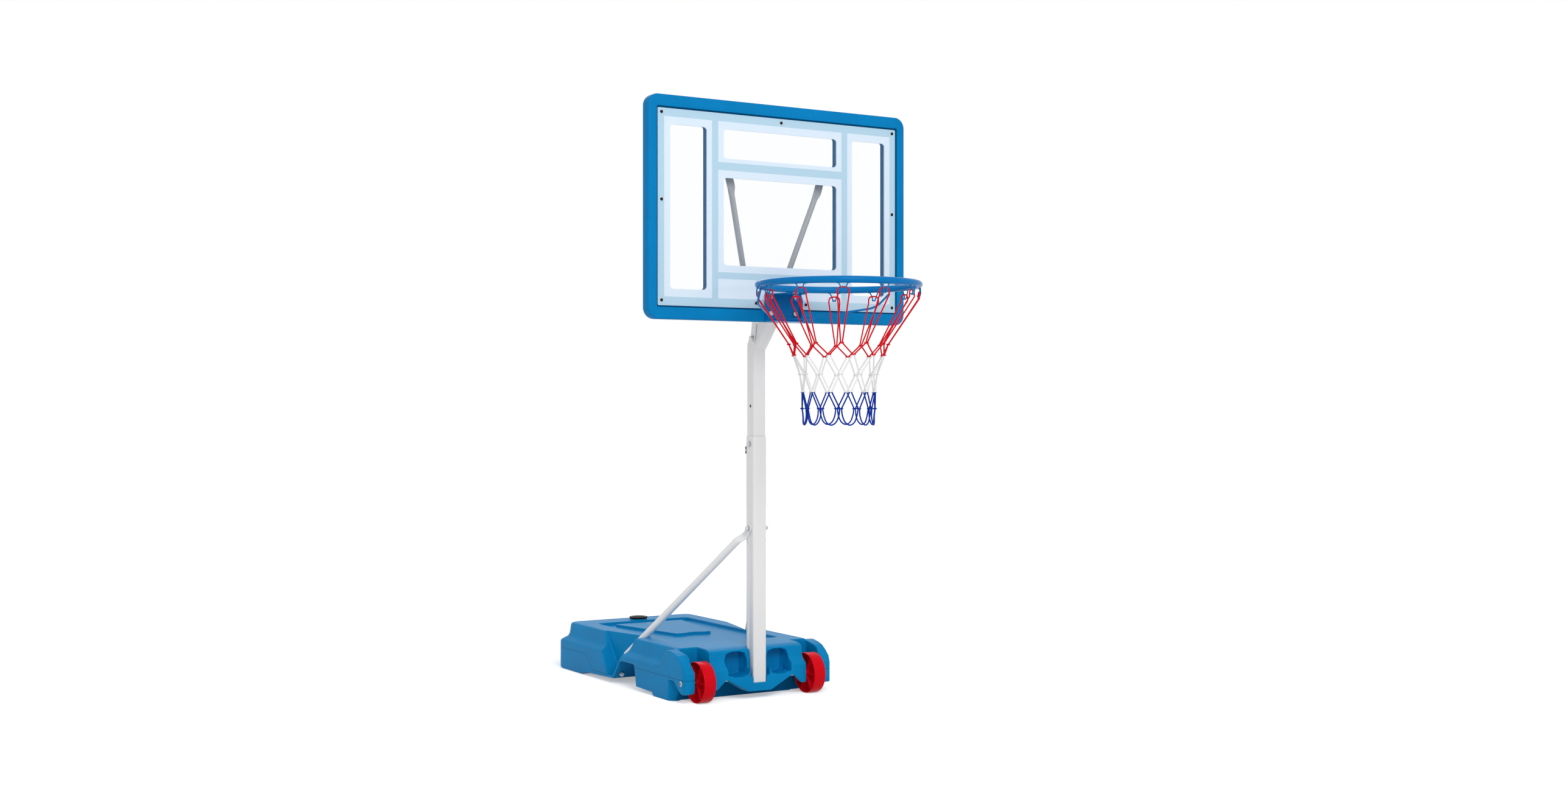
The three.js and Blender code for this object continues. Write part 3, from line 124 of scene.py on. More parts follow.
def at_origin(x, y, z):
    """A place in metres about a part's own origin."""
    return Vector((x, y, z)) * MM


# ---------------------------------------------------------------- settings


def colour(name, description, code):
    return bpy.props.FloatVectorProperty(
        name=name, description=description, subtype="COLOR", size=3, min=0, max=1, default=linear(code)
    )


def length(name, description, millimetres):
    return bpy.props.FloatProperty(
        name=name, description=description, subtype="DISTANCE", unit="LENGTH", min=0, default=millimetres * MM
    )


class HoopColours(bpy.types.PropertyGroup):
    """Colours of the hoop's finishes."""

    tank: colour("Tank", "Blow-moulded base tank", "#0289c6")
    board: colour("Board frame", "Moulded frame round the clear panel", "#0480c0")
    rim: colour("Rim", "Powder coat on the ring, bracket and brace rod", "#0474b8")
    pole: colour("Poles", "Powder coat on poles, struts and braces", "#ececec")
    # Painted shade: the grey the braces take above the board's lower edge, where the board shades them; their
    # coat is the same white as the poles
    brace: colour("Braces", "Duller coat on the two braces behind the board", "#a2a6ab")
    wheel: colour("Wheels", "Moulded wheels", "#e0061c")
    zinc: colour("Zinc", "Plated bolts, nuts and axle", "#c8cacc")
    black: colour("Black plastic", "Fill cap, knob and panel screws", "#17181a")
    rubber: colour("Rubber", "Seal ring under the cap", "#202123")
    frost: colour("Frosting", "Frosted part of the panel", "#dcecfb")
    stripe: colour("Stripes", "Printed stripes on the panel", "#b3d4e8")
    red_cord: colour("Net, top", "Cords from the hooks down", "#e2081e")
    white_cord: colour("Net, middle", "Cords in the net's middle", "#f2f2f2")
    blue_cord: colour("Net, bottom", "Cords at the net's open end", "#0234a6")
    floor: colour("Floor", "Studio floor", "#f4f4f4")


class HoopSizes(bpy.types.PropertyGroup):
    """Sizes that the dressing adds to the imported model."""

    cord: length("Cord", "Diameter of the net's cord", 3.8)
    hook_wire: length("Hook wire", "Diameter of the net hooks' wire", 3.2)


# ---------------------------------------------------------------- node trees

MATH, MIX, NOISE, RANGE = "ShaderNodeMath", "ShaderNodeMix", "ShaderNodeTexNoise", "ShaderNodeMapRange"
SPLIT, COMBINE = "ShaderNodeSeparateXYZ", "ShaderNodeCombineXYZ"


def add(tree, kind, inputs=(), **settings):
    """Adds a node, sets its properties, and links or sets its inputs, given by name or in order.

    A node given as an input is linked by its first output."""
    made = tree.nodes.new(kind)
    for key, value in settings.items():
        setattr(made, key, value)
    for key, value in inputs.items() if isinstance(inputs, dict) else enumerate(inputs):
        if isinstance(value, bpy.types.Node):
            value = value.outputs[0]
        if isinstance(value, bpy.types.NodeSocket):
            tree.links.new(value, made.inputs[key])
        else:
            made.inputs[key].default_value = value
    return made


def new_finish(name):
    """A new material, its empty tree, and the place of each point in its object."""
    made = bpy.data.materials.new(name)
    made.use_nodes = True
    made.node_tree.nodes.clear()
    return made, made.node_tree, add(made.node_tree, "ShaderNodeTexCoord").outputs["Object"]


def surfaced(made, tone, rough, height, depth, plain):
    """Closes a finish: its colour and roughness, a height that raises it by a depth, and plain values."""
    tree = made.node_tree
    normal = add(tree, "ShaderNodeBump", {"Strength": 1.0, "Distance": depth, "Height": height})
    inputs = {"Base Color": tone, "Roughness": rough, "Normal": normal, **plain}
    add(tree, "ShaderNodeOutputMaterial", [add(tree, "ShaderNodeBsdfPrincipled", inputs)])
    return made


def tinted(tree, base, light, dark, factor):
    """A colour that drifts between two shades of itself."""
    low, high = (tuple(min(c * share, 1) for c in base) + (1,) for share in (dark, light))
    return add(tree, MIX, {"Factor": factor, 6: low, 7: high}, data_type="RGBA").outputs[2]


def any_of(tree, masks):
    """1 where any of some masks is 1."""
    largest = masks[0]
    for mask in masks[1:]:
        largest = add(tree, MATH, [largest, mask], operation="MAXIMUM")
    return largest


def apart(tree, value, middle):
    """How far a value lies from a middle, on either side."""
    return add(tree, MATH, [add(tree, MATH, [value, middle], operation="SUBTRACT")], operation="ABSOLUTE")


def moulded_plastic(name, base, shine, roughness, grain, depth, speckle, line=None, line_depth=0.0):
    """Moulded polyethylene, polypropylene or nylon: a soft sheen, broken by the mould's grain and clouds.

    The grain is drawn at 0.8 to 2.5 mm, coarser than the real one, so that it shows."""
    made, tree, place = new_finish(name)
    cloud = add(tree, NOISE, {"Vector": place, "Scale": 1 / (111 * MM), "Detail": 3.0})
    fine = add(tree, NOISE, {"Vector": place, "Scale": 1 / (grain * MM), "Detail": 2.0})
    speck = add(tree, RANGE, [fine, 0.35, 0.65, 0.5 - speckle, 0.5 + speckle])
    shade = add(tree, MATH, [cloud, speck], operation="MULTIPLY")
    tone = tinted(tree, base, 1.35, 0.8, shade)
    rough = add(tree, RANGE, [cloud, 0, 1, roughness - 0.06, roughness + 0.06])
    height = add(tree, MATH, [fine, depth * MM], operation="MULTIPLY")
    # The line mask darkens the colour to 0.42 of the base: on the tank, the mould's parting line; on the board
    # frame, painted shade on the recess walls behind the panel
    if line:
        marked = line(tree, add(tree, SPLIT, [place]).outputs)
        dark = tuple(c * 0.42 for c in base) + (1,)
        tone = add(tree, MIX, {"Factor": marked, 6: tone, 7: dark}, data_type="RGBA").outputs[2]
        height = add(tree, MATH, [marked, line_depth * MM, height], operation="MULTIPLY_ADD")
    return surfaced(made, tone, rough, height, 1.0, {"Specular IOR Level": shine})


def panel_shade(tree, place):
    """Up to 0.8 on the frame's surfaces behind the panel, which lie in its shade."""
    shade = add(tree, RANGE, [place["Y"], (2.5 - MIDDLE) * MM, (4.5 - MIDDLE) * MM, 0.0, 0.8])
    for value, middle, reach in ((place["X"], 0, 381.8), (place["Z"], BOARD_MIDDLE, 263.3)):
        out = apart(tree, value, middle * MM)
        within = add(tree, RANGE, [out, reach * MM, (reach + 0.6) * MM, 1.0, 0.0])
        shade = add(tree, MATH, [shade, within], operation="MULTIPLY")
    return shade


def parting_line(tree, place):
    """1 on the mould's parting line round the tank, which dips to the strut notch on each side."""
    front, notch_front, notch_back, rear = ((y - MIDDLE) * MM for y in (600, 690, 765, 938))
    level, low = 66 * MM, 24 * MM
    soft = {"interpolation_type": "SMOOTHSTEP"}
    dip = add(tree, RANGE, [place["Y"], notch_front, notch_back, low, level], **soft)
    ahead = add(tree, MATH, [place["Y"], front], operation="LESS_THAN")
    height = add(tree, MIX, {"Factor": ahead, 2: dip, 3: level}, data_type="FLOAT")
    line = add(tree, RANGE, [apart(tree, place["Z"], height), 0.3 * MM, 0.9 * MM, 1.0, 0.0], **soft)
    side = add(tree, RANGE, [apart(tree, place["X"], 0.0), 208 * MM, 214 * MM])
    behind = add(tree, RANGE, [place["Y"], rear, rear + 6 * MM])
    return add(tree, MATH, [line, any_of(tree, [side, behind])], operation="MULTIPLY")


def powder_coat(name, base, shine, roughness, shade=None):
    """Powder-coated steel: a hard, even colour with the slight orange peel of baked powder, 2.4 mm wide."""
    made, tree, place = new_finish(name)
    peel = add(tree, NOISE, {"Vector": place, "Scale": 1 / (2.381 * MM), "Detail": 1.0})
    drift = add(tree, NOISE, {"Vector": place, "Scale": 1 / (167 * MM), "Detail": 2.0})
    tone = tinted(tree, base, 1.02, 0.97, drift)
    # Painted shade: with a shade colour given, the colour turns to it above 1040 to 1075 mm, for the board's
    # shade on the braces
    if shade:
        height = add(tree, SPLIT, [place]).outputs["Z"]
        behind = add(tree, RANGE, [height, 1040 * MM, 1075 * MM], interpolation_type="SMOOTHSTEP")
        tone = add(tree, MIX, {"Factor": behind, 6: tone, 7: (*shade, 1)}, data_type="RGBA").outputs[2]
    rough = add(tree, RANGE, [peel, 0, 1, roughness - 0.05, roughness + 0.05])
    return surfaced(made, tone, rough, peel, 0.05 * MM, {"IOR": 1.5, "Specular IOR Level": shine})


def zinc_plate(name, base):
    """Zinc-plated steel: bright, slightly cloudy metal with tumbling marks, drawn coarse to show."""
    made, tree, place = new_finish(name)
    cloud = add(tree, NOISE, {"Vector": place, "Scale": 1 / (6.25 * MM), "Detail": 4.0})
    marks = add(tree, NOISE, {"Vector": place, "Scale": 1 / (1.111 * MM), "Detail": 2.0})
    rough = add(tree, RANGE, [cloud, 0, 1, 0.2, 0.42])
    return surfaced(made, tinted(tree, base, 1.1, 0.8, cloud), rough, marks, 0.03 * MM, {"Metallic": 1.0})


def seal_rubber(name, base):
    """Moulded rubber: dark, dull and faintly speckled, with the speckle drawn coarse to show."""
    made, tree, place = new_finish(name)
    speck = add(tree, NOISE, {"Vector": place, "Scale": 1 / (1.4286 * MM), "Detail": 2.0})
    rough = add(tree, RANGE, [speck, 0, 1, 0.7, 0.85])
    tone = tinted(tree, base, 1.2, 0.8, speck)
    return surfaced(made, tone, rough, speck, 0.04 * MM, {"Specular IOR Level": 0.35})


def dyed_cord(name, colours):
    """Braided nylon cord, dyed in three bands from the ring down, with the braid's diamond lay."""
    made, tree, place = new_finish(name)
    height = add(tree, SPLIT, [place]).outputs["Z"]
    lay = add(tree, "ShaderNodeAttribute", attribute_name="lay").outputs["Vector"]
    parts = add(tree, SPLIT, [lay]).outputs
    angle = add(tree, MATH, [parts["Y"], parts["X"]], operation="ARCTAN2")
    waves = []
    for turn in (3.0, -3.0):
        around = add(tree, MATH, [angle, turn], operation="MULTIPLY")
        phase = add(tree, MATH, [parts["Z"], ALL_ROUND / (4.5 * MM), around], operation="MULTIPLY_ADD")
        waves.append(add(tree, MATH, [phase], operation="SINE"))
    braid = add(tree, MATH, waves, operation="MULTIPLY")
    shade = add(tree, RANGE, [braid, 0, 1, 0.97, 1.0])
    red, white, blue = ((*tone, 1) for tone in colours)
    shown = blue
    for drop, tone in ((WHITE_DROP, white), (RED_DROP, red)):
        above = add(tree, MATH, [height, (RING_HEIGHT - drop) * MM], operation="GREATER_THAN")
        shown = add(tree, MIX, {"Factor": above, 6: shown, 7: tone}, data_type="RGBA").outputs[2]
    blend = {"data_type": "RGBA", "blend_type": "MULTIPLY"}
    tone = add(tree, MIX, {"Factor": 1.0, 6: shown, 7: shade}, **blend).outputs[2]
    return surfaced(made, tone, 0.5, braid, 0.12 * MM, {"Specular IOR Level": 0.05, "Sheen Weight": 0.03})


def in_rounded(tree, x, z, rectangle):
    """1 inside a rounded rectangle given as (width, height, radius, middle)."""
    width, height, radius, middle = rectangle
    squares = []
    for value, center, half in ((x, middle[0], width / 2), (z, middle[1], height / 2)):
        out = apart(tree, value, center * MM)
        past = add(tree, MATH, [out, (half - radius) * MM], operation="SUBTRACT")
        past = add(tree, MATH, [past, 0.0], operation="MAXIMUM")
        squares.append(add(tree, MATH, [past, past], operation="MULTIPLY"))
    total = add(tree, MATH, squares, operation="ADD")
    return add(tree, MATH, [total, (radius * MM) ** 2], operation="LESS_THAN")


def printed_acrylic(name, frost, stripe):
    """Clear acrylic sheet: a frosted white print with pale blue stripes, left clear at four windows."""
    made, tree, place = new_finish(name)
    parts = add(tree, SPLIT, [place]).outputs
    x, z = apart(tree, parts["X"], 0.0), parts["Z"]
    windows = any_of(tree, [in_rounded(tree, x, z, window) for window in WINDOWS[1:]])
    bands = []
    for limits in STRIPES:
        across, up = (
            add(tree, MATH, [value, (low + high) / 2 * MM, (high - low) / 2 * MM], operation="COMPARE")
            for value, (low, high) in zip((x, z), limits)
        )
        bands.append(add(tree, MATH, [across, up], operation="MULTIPLY"))
    cloud = add(tree, NOISE, {"Vector": place, "Scale": 1 / (71 * MM), "Detail": 2.0})
    field = tinted(tree, frost, 1.0, 0.97, cloud)
    stripes = {"Factor": any_of(tree, bands), 6: field, 7: (*stripe, 1)}
    tone = add(tree, MIX, stripes, data_type="RGBA").outputs[2]
    opacity = add(tree, RANGE, [windows, 0, 1, 0.97, 0.03])
    inputs = {"Base Color": tone, "IOR": 1.49, "Roughness": 0.12, "Alpha": opacity}
    add(tree, "ShaderNodeOutputMaterial", [add(tree, "ShaderNodeBsdfPrincipled", inputs)])
    return made


FINISHES = {}
SLOT_FINISHES = {
    "tank_blue": "tank",
    "board_blue": "board",
    "rim_blue": "rim",
    "pole_white": "pole",
    "wheel_red": "wheel",
    "clear_sheet": "panel",
    "zinc_steel": "zinc",
    "screw_black": "black",
    "knob_black": "black",
    "seal_rubber": "rubber",
    "net_cord": "cord",
}


def make_finishes(tones):
    FINISHES.update(
        tank=moulded_plastic(
            "blow_moulded_polyethylene", tones.tank, 0.06, 0.4, 1.6, 0.05, 0.1, parting_line, 0.5
        ),
        # The board frame's walls behind the panel get painted shade through panel_shade
        board=moulded_plastic("grained_polypropylene", tones.board, 0.05, 0.5, 1.9, 0.35, 0.3, panel_shade),
        wheel=moulded_plastic("gloss_moulded_polypropylene", tones.wheel, 0.06, 0.26, 2.5, 0.02, 0.05),
        black=moulded_plastic("black_nylon", tones.black, 0.14, 0.38, 0.8, 0.03, 0.05),
        seat=moulded_plastic("natural_nylon", tones.frost, 0.2, 0.4, 1.0, 0.02, 0.05),
        rim=powder_coat("blue_powder_coated_steel", tones.rim, 0.07, 0.2),
        pole=powder_coat("white_powder_coated_steel", tones.pole, 0.5, 0.38),
        # The braces: the poles' white coat, with painted shade above the board's lower edge
        brace=powder_coat("white_powder_coat_painted_shade", tones.pole, 0.5, 0.36, tones.brace),
        zinc=zinc_plate("zinc_plated_steel", tones.zinc),
        rubber=seal_rubber("moulded_rubber", tones.rubber),
        panel=printed_acrylic("printed_acrylic_sheet", tones.frost, tones.stripe),
        cord=dyed_cord("dyed_braided_cord", (tones.red_cord, tones.white_cord, tones.blue_cord)),
    )


def finish_nodes():
    """Every CAD node that stays gets the finish of its record slot."""
    slots = {row["node"]: row["material_slot"] for row in frame["record"]["subparts"]}
    for name, node in NODES.items():
        node.data.materials.clear()
        node.data.materials.append(FINISHES[SLOT_FINISHES[slots[name]]])


# ---------------------------------------------------------------- shapes, each as (points, faces)


def circle(radius, steps):
    angles = [ALL_ROUND * i / steps for i in range(steps)]
    return [(radius * math.cos(angle), radius * math.sin(angle)) for angle in angles]


def outline(width, height, radius, middle=(0, 0), steps=6):
    """Corners of a rounded rectangle, anticlockwise."""
    points = []
    for i, (sx, sy) in enumerate(((1, 1), (-1, 1), (-1, -1), (1, -1))):
        x = middle[0] + sx * (width / 2 - radius)
        y = middle[1] + sy * (height / 2 - radius)
        for step in range(steps + 1):
            angle = (i + step / steps) * math.pi / 2
            points.append((x + radius * math.cos(angle), y + radius * math.sin(angle)))
    return points


def grown(rectangle, distance):
    """A rectangle (width, height, radius, middle) made larger all round."""
    width, height, radius, middle = rectangle
    return width + 2 * distance, height + 2 * distance, max(radius + distance, 1), middle


def loft(rings, closed=False, capped=True):
    """Skin through rings of points, each with as many points."""
    count = len(rings[0])
    points = [point for ring in rings for point in ring]
    faces = []
    for level in range(len(rings) if closed else len(rings) - 1):
        low, high = level * count, (level + 1) % len(rings) * count
        for i in range(count):
            j = (i + 1) % count
            faces.append((low + i, low + j, high + j, high + i))
    if capped and not closed:
        faces.append(tuple(reversed(range(count))))
        faces.append(tuple(range((len(rings) - 1) * count, len(rings) * count)))
    return points, faces


def on_axis(axis, along, a, b):
    return {"x": (along, a, b), "y": (a, along, b), "z": (a, b, along)}[axis]


def prism(axis, points, low, high, place=spot):
    """Straight bar with the given outline, along one axis."""
    return loft([[place(*on_axis(axis, level, a, b)) for a, b in points] for level in (low, high)])


def turned(axis, middle, profile, steps=48, closed=False, place=spot):
    """Shape of revolution about an axis through a place; the profile runs as (radius, along)."""
    rings = []
    for radius, along in profile:
        around = [on_axis(axis, along, a, b) for a, b in circle(radius, steps)]
        rings.append([place(*(m + offset for m, offset in zip(middle, point))) for point in around])
    return loft(rings, closed=closed)


def spun(profile, steps, closed=False):
    """Shape of revolution about a part's own upright axis."""
    return turned("z", (0, 0, 0), profile, steps, closed, at_origin)


def rod(axis, middle, radius, low, high, steps):
    """Round bar along an axis through a place."""
    return turned(axis, middle, [(radius, low), (radius, high)], steps)


def swept(path, profile):
    """Skin of a profile carried along a path without twist."""
    rings = []
    wide = (path[1] - path[0]).normalized().orthogonal().normalized()
    for i, point in enumerate(path):
        along = (path[min(i + 1, len(path) - 1)] - path[max(i - 1, 0)]).normalized()
        wide = (wide - along * wide.dot(along)).normalized()
        thin = along.cross(wide)
        rings.append([point + wide * a * MM + thin * b * MM for a, b in profile])
    return loft(rings)


def smooth_path(points, steps):
    """A smooth curve through a few points."""
    row = [points[0] * 2 - points[1], *points, points[-1] * 2 - points[-2]]
    made = []
    for p0, p1, p2, p3 in zip(row, row[1:], row[2:], row[3:]):
        for step in range(steps):
            t = step / steps
            curve = 2 * p1 + (p2 - p0) * t + (2 * p0 - 5 * p1 + 4 * p2 - p3) * t * t
            made.append(0.5 * (curve + (3 * p1 - p0 - 3 * p2 + p3) * t * t * t))
    return made + [points[-1]]


def bent(points, reach, steps=6):
    """Straight runs between points, with each corner rounded over a reach."""
    made = [points[0]]
    for before, corner, after in zip(points, points[1:], points[2:]):
        start, end = (
            corner + (other - corner).normalized() * min(reach, (other - corner).length * 0.45)
            for other in (before, after)
        )
        for i in range(steps + 1):
            t = i / steps
            made.append(start * (1 - t) ** 2 + corner * 2 * t * (1 - t) + end * t * t)
    return made + [points[-1]]


def joined(shapes):
    points, faces = [], []
    for some_points, some_faces in shapes:
        start = len(points)
        points += some_points
        faces += [tuple(start + i for i in face) for face in some_faces]
    return points, faces


def upright(axis):
    """Euler turn that stands a part's +Z along an axis."""
    return tuple(Vector((0, 0, 1)).rotation_difference(Vector(axis)).to_euler())


def moved(shape, place, axis):
    """A shape built up +Z about the origin, stood at a place with its axis turned."""
    turn = Vector((0, 0, 1)).rotation_difference(Vector(axis)).to_matrix()
    return [spot(*place) + turn @ point for point in shape[0]], shape[1]


def lerp(a, b, share):
    return a + (b - a) * share


def eased(share):
    return share * share * (3 - 2 * share)


# ---------------------------------------------------------------- meshes and objects


def settle(mesh, merge=0.0):
    """Merges doubles within a distance, and turns each closed part's faces outwards."""
    work = bmesh.new()
    work.from_mesh(mesh)
    if merge:
        bmesh.ops.remove_doubles(work, verts=work.verts, dist=merge)
    bmesh.ops.recalc_face_normals(work, faces=work.faces)
    work.to_mesh(mesh)
    work.free()


def mesh_of(name, shape):
    mesh = bpy.data.meshes.new(name)
    mesh.from_pydata([tuple(point) for point in shape[0]], [], shape[1])
    settle(mesh, 1e-6)
    return mesh


def new_object(name, mesh):
    made = bpy.data.objects.new(name, mesh)
    bpy.context.scene.collection.objects.link(made)
    return made


def built(name, shape):
    """An object from a shape, or the object itself where one is given."""
    return shape if isinstance(shape, bpy.types.Object) else new_object(name, mesh_of(name, shape))


def applied(made):
    """Turns an object's modifiers into plain mesh."""
    bpy.context.view_layer.update()
    graph = bpy.context.evaluated_depsgraph_get()
    shown = made.evaluated_get(graph)
    mesh = bpy.data.meshes.new_from_object(shown, preserve_all_data_layers=True, depsgraph=graph)
    made.modifiers.clear()
    made.data = mesh
    return made


def changed(made, kind, **settings):
    """Runs one modifier on an object and keeps the result as plain mesh."""
    modifier = made.modifiers.new(kind.lower(), kind)
    for key, value in settings.items():
        setattr(modifier, key, value)
    return applied(made)


def bevelled(made, width, segments=2, degrees=40):
    """Rounds the edges sharper than an angle."""
    edges = {"limit_method": "ANGLE", "angle_limit": math.radians(degrees), "use_clamp_overlap": True}
    return changed(made, "BEVEL", width=width * MM, segments=segments, **edges)


def carved(made, shapes, operation="DIFFERENCE"):
    """Cuts shapes out of an object, or adds them to it."""
    tools = [built("tool", shape) for shape in shapes]
    for tool in tools:
        step = made.modifiers.new("cut", "BOOLEAN")
        step.operation = operation
        step.object = tool
        step.solver = "EXACT"
    applied(made)
    for tool in tools:
        bpy.data.objects.remove(tool)
    return made


def piece(name, shape, body, slot, nodes=(), finish=None, degrees=32):
    """Dresses a shape or object as a finished piece that rides on a body and stands for CAD nodes."""
    made = built(name, shape)
    made.data.materials.clear()
    made.data.materials.append(FINISHES[finish or SLOT_FINISHES[slot]])
    made.data.polygons.foreach_set("use_smooth", [True] * len(made.data.polygons))
    made.data.set_sharp_from_angle(angle=math.radians(degrees))
    made.data.update()
    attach(made, body)
    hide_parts(*nodes)


def node_copy(name, node):
    """A copy of a CAD node, with its flat faces made whole again."""
    work = bmesh.new()
    work.from_mesh(NODES[node].data)
    bmesh.ops.remove_doubles(work, verts=work.verts, dist=2e-6)
    bmesh.ops.dissolve_limit(work, angle_limit=math.radians(1), verts=work.verts, edges=work.edges)
    mesh = bpy.data.meshes.new(name)
    work.to_mesh(mesh)
    work.free()
    return new_object(name, mesh)


def softened(name, node, body, slot, width, segments=2):
    """A CAD node copied with its edges rounded."""
    piece(name, bevelled(node_copy(name, node), width, segments, 32), body, slot, [node])


# ---------------------------------------------------------------- geometry node trees


def geometry_tree(name, inputs):
    """A new Geometry Nodes tree with a geometry input and named inputs, and its group input's sockets."""
    tree = bpy.data.node_groups.new(name, "GeometryNodeTree")
    tree.interface.new_socket("Geometry", in_out="INPUT", socket_type="NodeSocketGeometry")
    for key, value in inputs.items():
        kind = {int: "Int", float: "Float"}.get(type(value), "Object")
        socket = tree.interface.new_socket(key, in_out="INPUT", socket_type="NodeSocket" + kind)
        if value is not None:
            socket.default_value = value
    tree.interface.new_socket("Geometry", in_out="OUTPUT", socket_type="NodeSocketGeometry")
    return tree, add(tree, "NodeGroupInput").outputs


def close_tree(tree, geometry, material):
    real = add(tree, "GeometryNodeRealizeInstances", {"Geometry": geometry})
    painted = add(tree, "GeometryNodeSetMaterial", {"Geometry": real, "Material": material})
    add(tree, "NodeGroupOutput", {"Geometry": painted})


def run_tree(made, tree, values):
    """Runs a tree on an object with the given inputs and keeps the result as plain mesh."""
    modifier = made.modifiers.new(tree.name, "NODES")
    modifier.node_group = tree
    for socket in tree.interface.items_tree:
        if socket.in_out == "INPUT" and socket.name in values:
            modifier[socket.identifier] = values[socket.name]
    return applied(made)


def repeated(name, part, places):
    """Copies of one part, stood by Geometry Nodes at places with turns."""
    source = built("source", part)
    mesh = bpy.data.meshes.new(name)
    mesh.from_pydata([tuple(place) for place, turn in places], [], [])
    turns = mesh.attributes.new("turn", "FLOAT_VECTOR", "POINT").data
    turns.foreach_set("vector", [value for place, turn in places for value in turn])
    tree, group = geometry_tree("repeated_" + name, {"Part Scale": 1.0, "Part": None})
    info = add(tree, "GeometryNodeObjectInfo", {"Object": group["Part"]}, transform_space="ORIGINAL")
    turn = add(tree, "GeometryNodeInputNamedAttribute", {"Name": "turn"}, data_type="FLOAT_VECTOR")
    stood = {
        "Points": add(tree, "GeometryNodeMeshToPoints", {"Mesh": group["Geometry"]}),
        "Instance": info.outputs["Geometry"],
        "Rotation": turn.outputs["Attribute"],
        "Scale": group["Part Scale"],
    }
    close_tree(tree, add(tree, "GeometryNodeInstanceOnPoints", stood), FINISHES["zinc"])
    made = run_tree(new_object(name, mesh), tree, {"Part Scale": 1.0, "Part": source})
    bpy.data.objects.remove(source)
    return made


# ---------------------------------------------------------------- fasteners


def round_screw(reach):
    """Dome-head screw about its seat, with a cross recess."""
    dome = [(4.3 * math.cos(a), 0.6 + 2.4 * math.sin(a)) for a in (i * math.pi / 16 for i in range(8))]
    profile = [(2, -reach), (2, 0), (4.2, 0), *dome, (0.4, 3)]
    screw = built("screw", spun(profile, 24))
    slots = [prism("z", outline(a, b, 0.3, steps=2), 1.8, 5, at_origin) for a, b in ((4.4, 1.0), (1.0, 4.4))]
    return carved(screw, slots)


def hexagon(limit, height, count=48):
    """Ring round a 13 mm hexagon, kept within a chamfer's radius."""
    ring = []
    for i in range(count):
        angle = ALL_ROUND * i / count
        flat = 6.5 / math.cos((angle + math.pi / 6) % (math.pi / 3) - math.pi / 6)
        radius = min(flat, limit)
        ring.append(at_origin(radius * math.cos(angle), radius * math.sin(angle), height))
    return ring


def threaded(start, end, radius=4.0, pitch=1.25):
    """Shank with a ring of thread for each turn."""
    profile = []
    z = start
    while z < end - pitch:
        profile += [(radius, z), (radius, z + 0.2), (radius - 0.6, z + pitch / 2), (radius, z + pitch - 0.1)]
        z += pitch
    profile += [(radius - 0.2, end - 0.5), (radius - 0.8, end)]
    return spun(profile, 20)


def hex_bolt(reach, washer=1.6):
    """Hex bolt about its seat, with the head above and a threaded shank below."""
    levels = ((7.0, 0), (7.51, 0.4), (7.51, 4.8), (6.3, 5.5))
    parts = [loft([hexagon(limit, washer + height) for limit, height in levels])]
    if washer:
        ring = [(4.2, 0), (8.4, 0), (8.5, 0.3), (8.5, washer - 0.3), (8.1, washer), (4.2, washer)]
        parts.append(spun(ring, 40, True))
    parts.append(threaded(-reach, min(-0.5, washer)))
    return joined(parts)


def hex_nut():
    levels = ((6.4, 0), (7.51, 0.7), (7.51, 5.8), (6.4, 6.5))
    bore = [[at_origin(a, b, z) for a, b in circle(4.1, 48)] for z in (6.5, 0)]
    return loft([hexagon(limit, z) for limit, z in levels] + bore, closed=True)


# ---------------------------------------------------------------- operators


